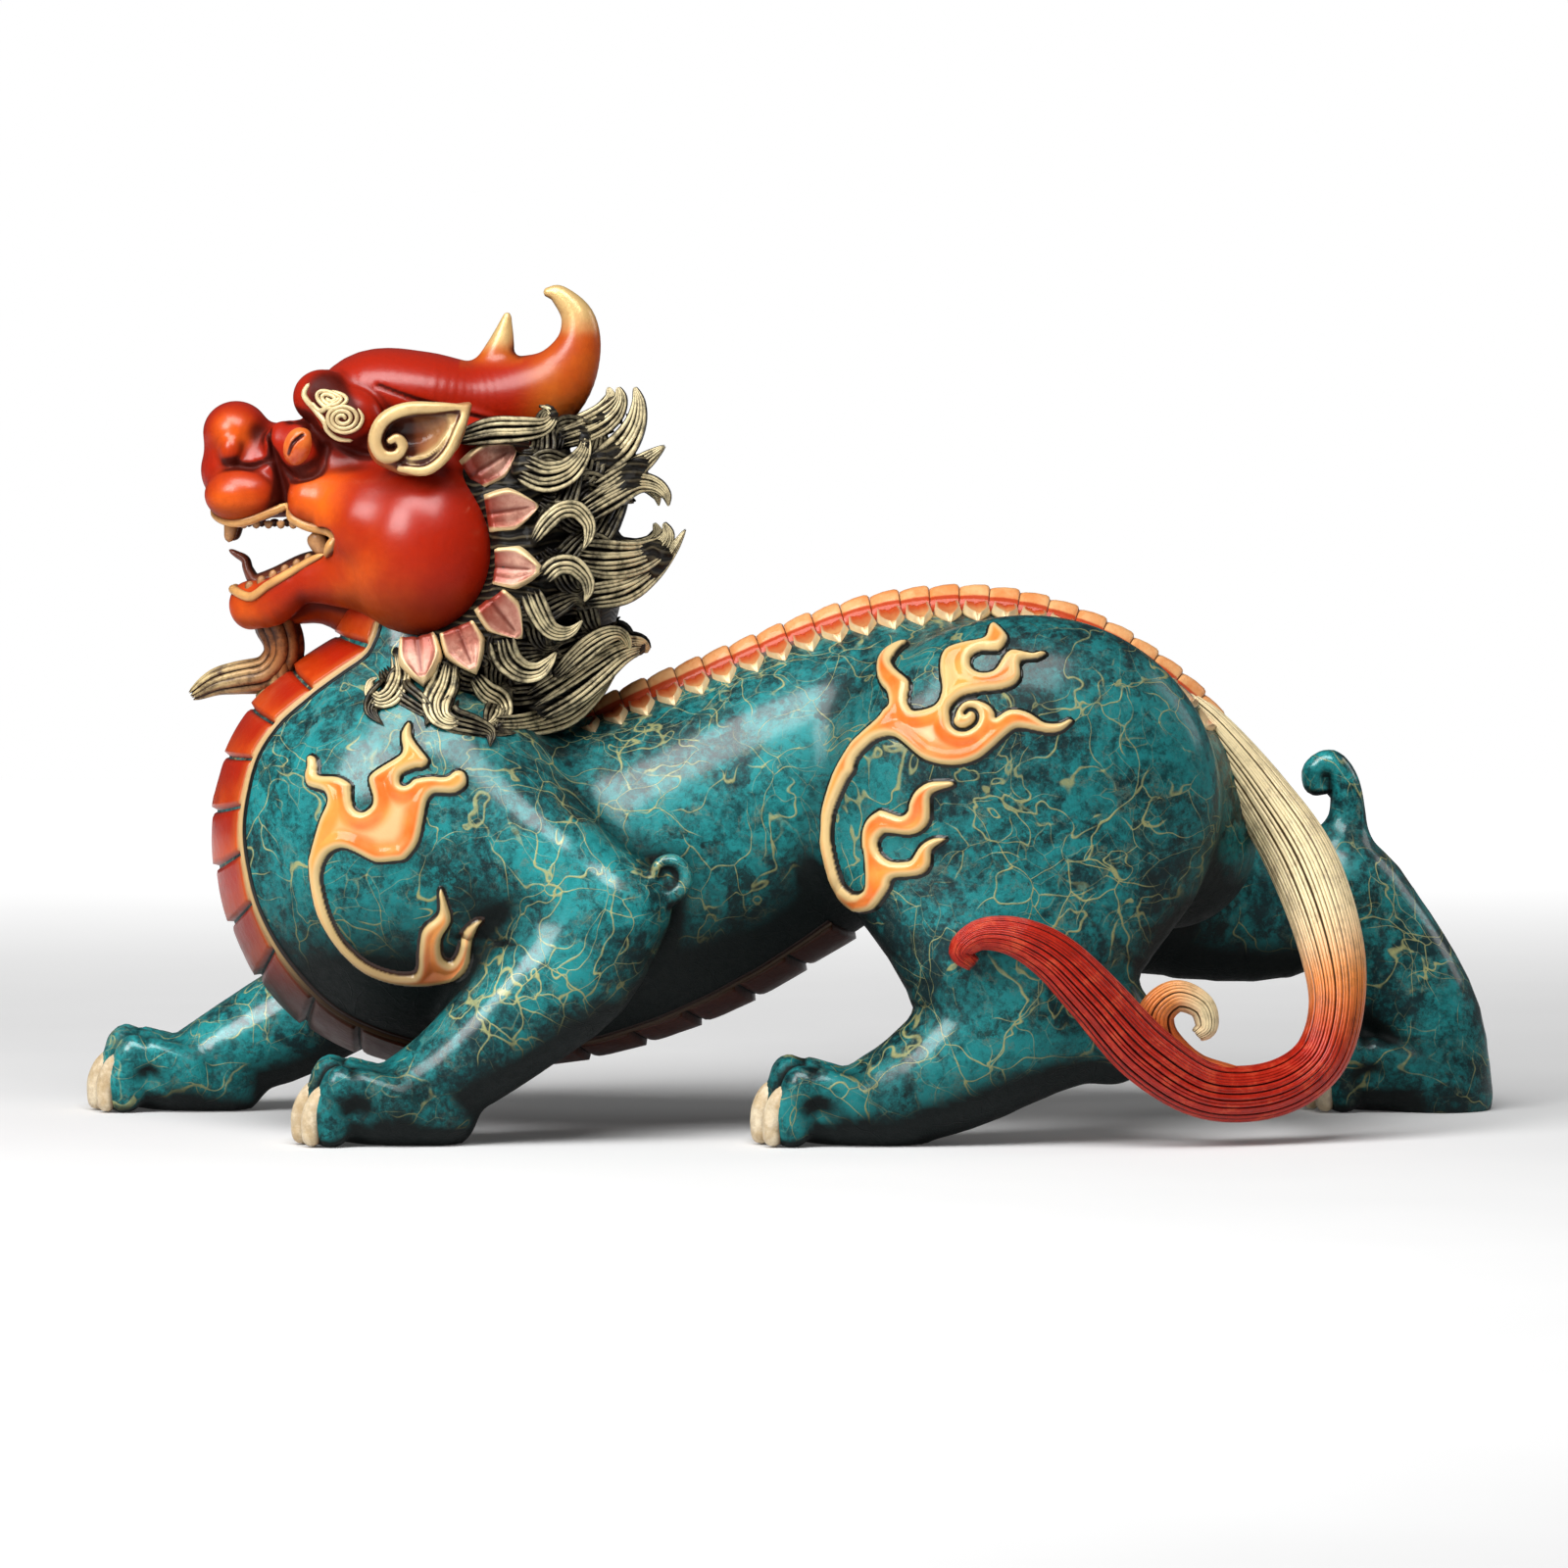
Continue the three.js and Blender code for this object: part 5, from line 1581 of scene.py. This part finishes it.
HAUNCH_FLAME = [
    (70, 105.8), (69.1, 106.3), (67, 105.4), (64.8, 105.2), (62.6, 105.6), (60.4, 107.1), (58.2, 108.2),
    (55.6, 108.7), (53.4, 108.2), (51, 106.6), (50.8, 107.6), (49.7, 109.3), (47.7, 110.4),
    (45.5, 110.9), (43.5, 110.4), (42.2, 109.3), (41.3, 107.8), (40.8, 106.4), (40, 106.1),
    (39.6, 107.6), (40, 109.2), (41.6, 110.9), (43.8, 112.1), (48.6, 113), (51.2, 113.2), (53.8, 113.8),
    (56, 114.9), (57.1, 116.8), (57.3, 120.3), (61.3, 120.9), (63.7, 122.2), (62.1, 122.6), (60, 122.2),
    (56, 123), (54.3, 122.6), (53, 121.2), (51.2, 118.5), (49.5, 117.6), (47.3, 117.5), (45.5, 118.3),
    (44.8, 119.6), (45.1, 121.2), (46.4, 122.2), (48.1, 122.7), (50.3, 122.6), (52.5, 123.1),
    (54.1, 125.5), (53.6, 127.1), (51.4, 129.1), (50.1, 128.9), (49.5, 127.9), (49, 126.4),
    (47.7, 125.5), (42.5, 124.4), (38.7, 122.7), (37.4, 119), (37.9, 114.1), (37.6, 112), (36.8, 110.2),
    (35, 108.9), (31.1, 108), (29.8, 109.1), (29.3, 110.6), (29.9, 114.1), (29.3, 115.7), (27.6, 117),
    (26, 118.5), (25.6, 120.1), (27.6, 122.7), (29.5, 124.2), (28.5, 124.3), (25.8, 123.3),
    (23.6, 121.8), (22.3, 119.8), (22, 117.6), (22.3, 115.5), (23.2, 113.7), (24.5, 112.2),
    (24.9, 109.5), (23.6, 108), (21.9, 105.8), (17.1, 101.4), (14.9, 98.8), (10.9, 91.8), (8.3, 83.5),
    (8, 78.1), (8, 73.2), (10.1, 65.9), (12.6, 61.2), (15.5, 58.5), (17.6, 57.8), (20.6, 58.6),
    (22.2, 60.1), (24.7, 64), (25.1, 65.5), (26.1, 66.7), (30, 67.1), (32.1, 67.5), (33.5, 68.2),
    (34.6, 69.5), (35, 70.9), (35.3, 73.8), (37.7, 75.8), (38.7, 76.8), (35.7, 76.8), (32.6, 74.9),
    (30.6, 71.8), (29.4, 70.9), (25.5, 70.7), (22.8, 72.5), (22, 75.3), (23.3, 77.4), (24.7, 77.8),
    (29.7, 77.4), (32.9, 78.7), (34.8, 81.6), (34.9, 86.9), (36.6, 88.5), (39.9, 89.6), (40.7, 90.2),
    (40.1, 90.9), (38.2, 91), (34.4, 90.6), (31.3, 88.4), (29.8, 85.5), (29.6, 84.1), (29.1, 82.9),
    (28, 82.2), (26.7, 82.3), (23.3, 83.4), (22, 83.1), (19.6, 81.1), (18.3, 78), (18.2, 74.2),
    (18.7, 72.2), (19.1, 64.5), (17.8, 62.6), (16.7, 62.3), (15.3, 62.7), (12.9, 65.4), (10.7, 73.6),
    (10.5, 78.6), (11.3, 83.3), (14.4, 90.5), (15.9, 92.7), (16.9, 96.1), (20.6, 100.1), (23.2, 101.4),
    (25.4, 101.7), (27.6, 100.8), (32.4, 96.8), (35.5, 95.5), (39, 94.9), (42.5, 95.1), (45.5, 96),
    (48.1, 97.5), (53, 101.9), (55.1, 103.6), (57.3, 104.1), (63, 103), (65.6, 103), (67.8, 103.8),
]
GROOVE = [
    (40.1, 106.4), (40.4, 104.9), (41.6, 103.8), (43.3, 103.6), (44.9, 104.3), (46.1, 105.5), (46.5, 107),
    (45.8, 108.3), (44.4, 108.5), (43.5, 107.7),
]


def off(x, z, line):
    """How far each point of the side plane is from a line, and whether the line, closed, goes round it."""
    best = np.full(x.shape, 99.0)
    within = np.zeros(x.shape, bool)
    for a, b in zip(line[:-1], line[1:]):
        run = b - a
        t = np.clip(((x - a[0]) * run[0] + (z - a[1]) * run[1]) / (run @ run), 0, 1)
        best = np.minimum(best, np.hypot(x - a[0] - t * run[0], z - a[1] - t * run[1]))
        within ^= ((a[1] > z) != (b[1] > z)) & (x < a[0] + (z - a[1]) * run[0] / (run[1] or 1e-9))
    return best, within


FLAME_STEP = 0.36
parts = []
for outline in (SHOULDER_FLAME, HAUNCH_FLAME):
    low, high = np.min(outline, axis=0) - 2, np.max(outline, axis=0) + 2
    x, z = np.meshgrid(
        np.arange(low[0], high[0], FLAME_STEP), np.arange(low[1], high[1], FLAME_STEP), indexing="ij"
    )
    edge, within = off(x, z, smooth(outline + outline[:1], 3 * len(outline)))
    curl, _ = off(x, z, smooth(GROOVE, 30))
    depth = np.minimum(np.where(within, edge, -edge), np.maximum(curl - 0.4, -0.5))
    used = depth > -1.2
    number = np.full(x.shape, -1)
    number[used] = np.arange(used.sum())
    quads = (
        np.stack([number[:-1, :-1], number[1:, :-1], number[1:, 1:], number[:-1, 1:]], -1).reshape(-1, 4)
    )
    quads = quads[(quads >= 0).all(1)]
    x, z, depth = x[used], z[used], depth[used]
    hump = np.sqrt(1 - (1 - np.clip(depth / 1.6, 0, 1)) ** 2)
    relief = 0.12 + 1.9 * hump - 0.7 * fade(depth, 1.7, 4.5) + 4 * np.minimum(depth + 0.75, 0)
    skin = np.column_stack([x, body.flank(x, z), z])
    skin[:, 1] = np.where(np.isnan(skin[:, 1]), -50, skin[:, 1])
    f, g = body.slope(skin)
    g /= np.linalg.norm(g, axis=1)[:, None]
    parts.append((skin + relief[:, None] * g, quads, depth, fade(-g[:, 2], 0.1, 0.8)))


def flaming(s):
    depth = s.kept("depth")
    worn = s.noise(110, 5, 0.65).ramp(0.3, 0.7)
    glow = s.noise(38, 3, 0.6).ramp(0.4, 0.6)
    heart = glow.mix((0.78, 0.14, 0.01), (0.88, 0.31, 0.05))
    heart = depth.ramp(3.4, 6.5).mix(heart, (0.9, 0.48, 0.22))
    colour = (depth.ramp(0.7, 2.0) * (0.85 + 0.15 * worn)).mix((0.74, 0.52, 0.23), heart)
    # The dark line round the edge: partly a painted outline, partly painted shade at the relief's foot.
    colour = depth.ramp(0.3, -0.05).mix(colour, (0.008, 0.008, 0.006))
    # Painted shade where the flame faces down.
    colour = (s.kept("shade") * 0.8).mix(colour, (0.05, 0.012, 0.004))
    return {
        "Base Color": colour,
        "Roughness": 0.28 + 0.15 * worn,
        "Metallic": 0.05,
        "Coat Weight": 0.4,
        "bump": (worn, 0.08),
    }


points, quads, depth, shade = gather(twins(parts))
piece("flames", points, quads, finish("flame_gilt", flaming), depth=depth, shade=shade)

# Sixteen bone-white claws stand on the ground, one before each toe. They are cast with the paws and
# painted in bone colour over the metal, cracked with age, with painted shade where they meet the toe.
claws = []
for x, y in PAWS:
    for place_on in TOES:
        tip, toe = x + (3 if abs(place_on) > 1 else 0), y + TOE_APART * place_on
        bent = [
            [tip + 8.5, toe, 13.5, 2.6, 2.4], [tip + 5, toe, 12, 3.3, 3], [tip + 2.7, toe, 8, 3.1, 3.1],
            [tip + 2.2, toe, 4, 2.7, 3.2], [tip + 2.8, toe, 0.2, 2.8, 3.2],
        ]
        claws.append(tube(bent, (-1, 0, 0.2), sides=14, blunt=0.2))


def bone(s):
    worn = s.noise(150, 6, 0.7).ramp(0.3, 0.7)
    crack = s.noise(420, 6, 0.75).ramp(0.42, 0.6)
    colour = worn.mix((0.55, 0.4, 0.22), (0.78, 0.68, 0.5))
    colour = (crack * 0.3).mix(colour, (0.25, 0.15, 0.07))
    # Painted shade on the side of each claw that meets the toe.
    colour = s.kept("crest").ramp(0.45, 0.1).mix(colour, (0.08, 0.04, 0.02))
    return {
        "Base Color": colour,
        "Roughness": 0.4 + 0.15 * worn,
        "Coat Weight": 0.15,
        "bump": (worn + crack * 0.4, 0.1),
    }


points, quads, crest, _ = gather(claws)
points[:, 2] = np.maximum(points[:, 2], SOLE)
piece("claws", points, quads, finish("claw_bone", bone), crest=crest)

# The tail leaves the rump, swings down and round the near flank as a flat rope of strands, and splits
# into a small gilt curl and a long red one.
SWEEP = [
    [98, 0, 109, 4.5, 7],
    [107, -3, 100.5, 6, 8],
    [119.3, -9, 85, 7.6, 8],
    [129.5, -18, 68.5, 9, 8],
    [136, -28, 49, 8.4, 8],
    [137, -36, 33, 7, 8],
    [131.8, -42, 20, 6.8, 8],
    [119.5, -48, 13.4, 7, 8],
    [103, -54, 14, 7.2, 8],
    [88, -60, 23.7, 7.8, 7],
    [75, -64, 38, 7.2, 6],
    [65, -65, 48, 6.3, 5.4],
    [55.5, -65, 53, 5, 5],
    [47, -65, 53.5, 3.9, 4.4],
    [42, -65, 49.5, 3, 3.6],
    [45.5, -65, 46, 2, 2.4],
]
CURL = [
    [113, -51, 14, 5, 6],
    [100, -52, 17, 5.8, 6],
    [92, -53, 25.5, 5, 5.6],
    [91, -53, 33, 4.3, 5],
    [96, -53, 37.3, 3.7, 4.6],
    [102, -53, 35, 3.1, 4.2],
    [103.5, -53, 30, 2.6, 3.6],
    [101, -53, 27.5, 1.8, 2.6],
]


def dyed(s):
    crest, red = s.kept("crest"), s.kept("red")
    streak = s.noise(240, 5, 0.7).ramp(0.25, 0.75)
    ridge = red.ramp(0.0, 0.5).mix((0.88, 0.72, 0.42), (0.72, 0.24, 0.05))
    ridge = red.ramp(0.35, 1.0).mix(ridge, (0.44, 0.014, 0.003))
    ridge = (red * streak.ramp(0.5, 1.0) * 0.35).mix(ridge, (0.75, 0.14, 0.05))
    # Painted shade: the groove colour, a dark copy of the ridge's, lies between the strands and on the core.
    groove = red.ramp(0.1, 0.8).mix((0.12, 0.07, 0.025), (0.06, 0.003, 0.002))
    strand_paint_and_light = (crest.ramp(0.6, 0.98) * (0.5 + 0.6 * streak)).ramp(0.08, 0.85)
    return {
        "Base Color": strand_paint_and_light.mix(groove, ridge),
        "Roughness": 0.32 + 0.18 * streak,
        "Metallic": 0.1,
        "Coat Weight": 0.3,
        "bump": (streak, 0.12),
    }


def rope(stations, count, reddening, seed):
    """A rope's strands and its core, dark with painted shade, each point with how red it is."""
    parts = strands(
        stations, (0, 1, 0), count, spread=0.92, sides=6, steps=8 * len(stations), twist=0.5, seed=seed
    )
    core = tube(
        [[x, y, z, 0.9 * w, 0.9 * d] for x, y, z, d, w in stations],
        (0, -1, 0),
        sides=24,
        steps=8 * len(stations),
        blunt=0.04,
    )
    parts.append((core[0], core[1], 0 * core[2], core[3]))
    return [(p, q, crest, reddening(t)) for p, q, crest, t in parts]


parts = rope(SWEEP, 50, lambda t: fade(t, 0.2, 0.43), 7)
parts += rope(CURL, 24, lambda t: 0.7 * (1 - fade(t, 0.3, 0.85)), 8)
points, quads, crest, red_share = gather(parts)
piece("tail", points, quads, finish("tail_dyed", dyed), crest=crest, red=red_share)
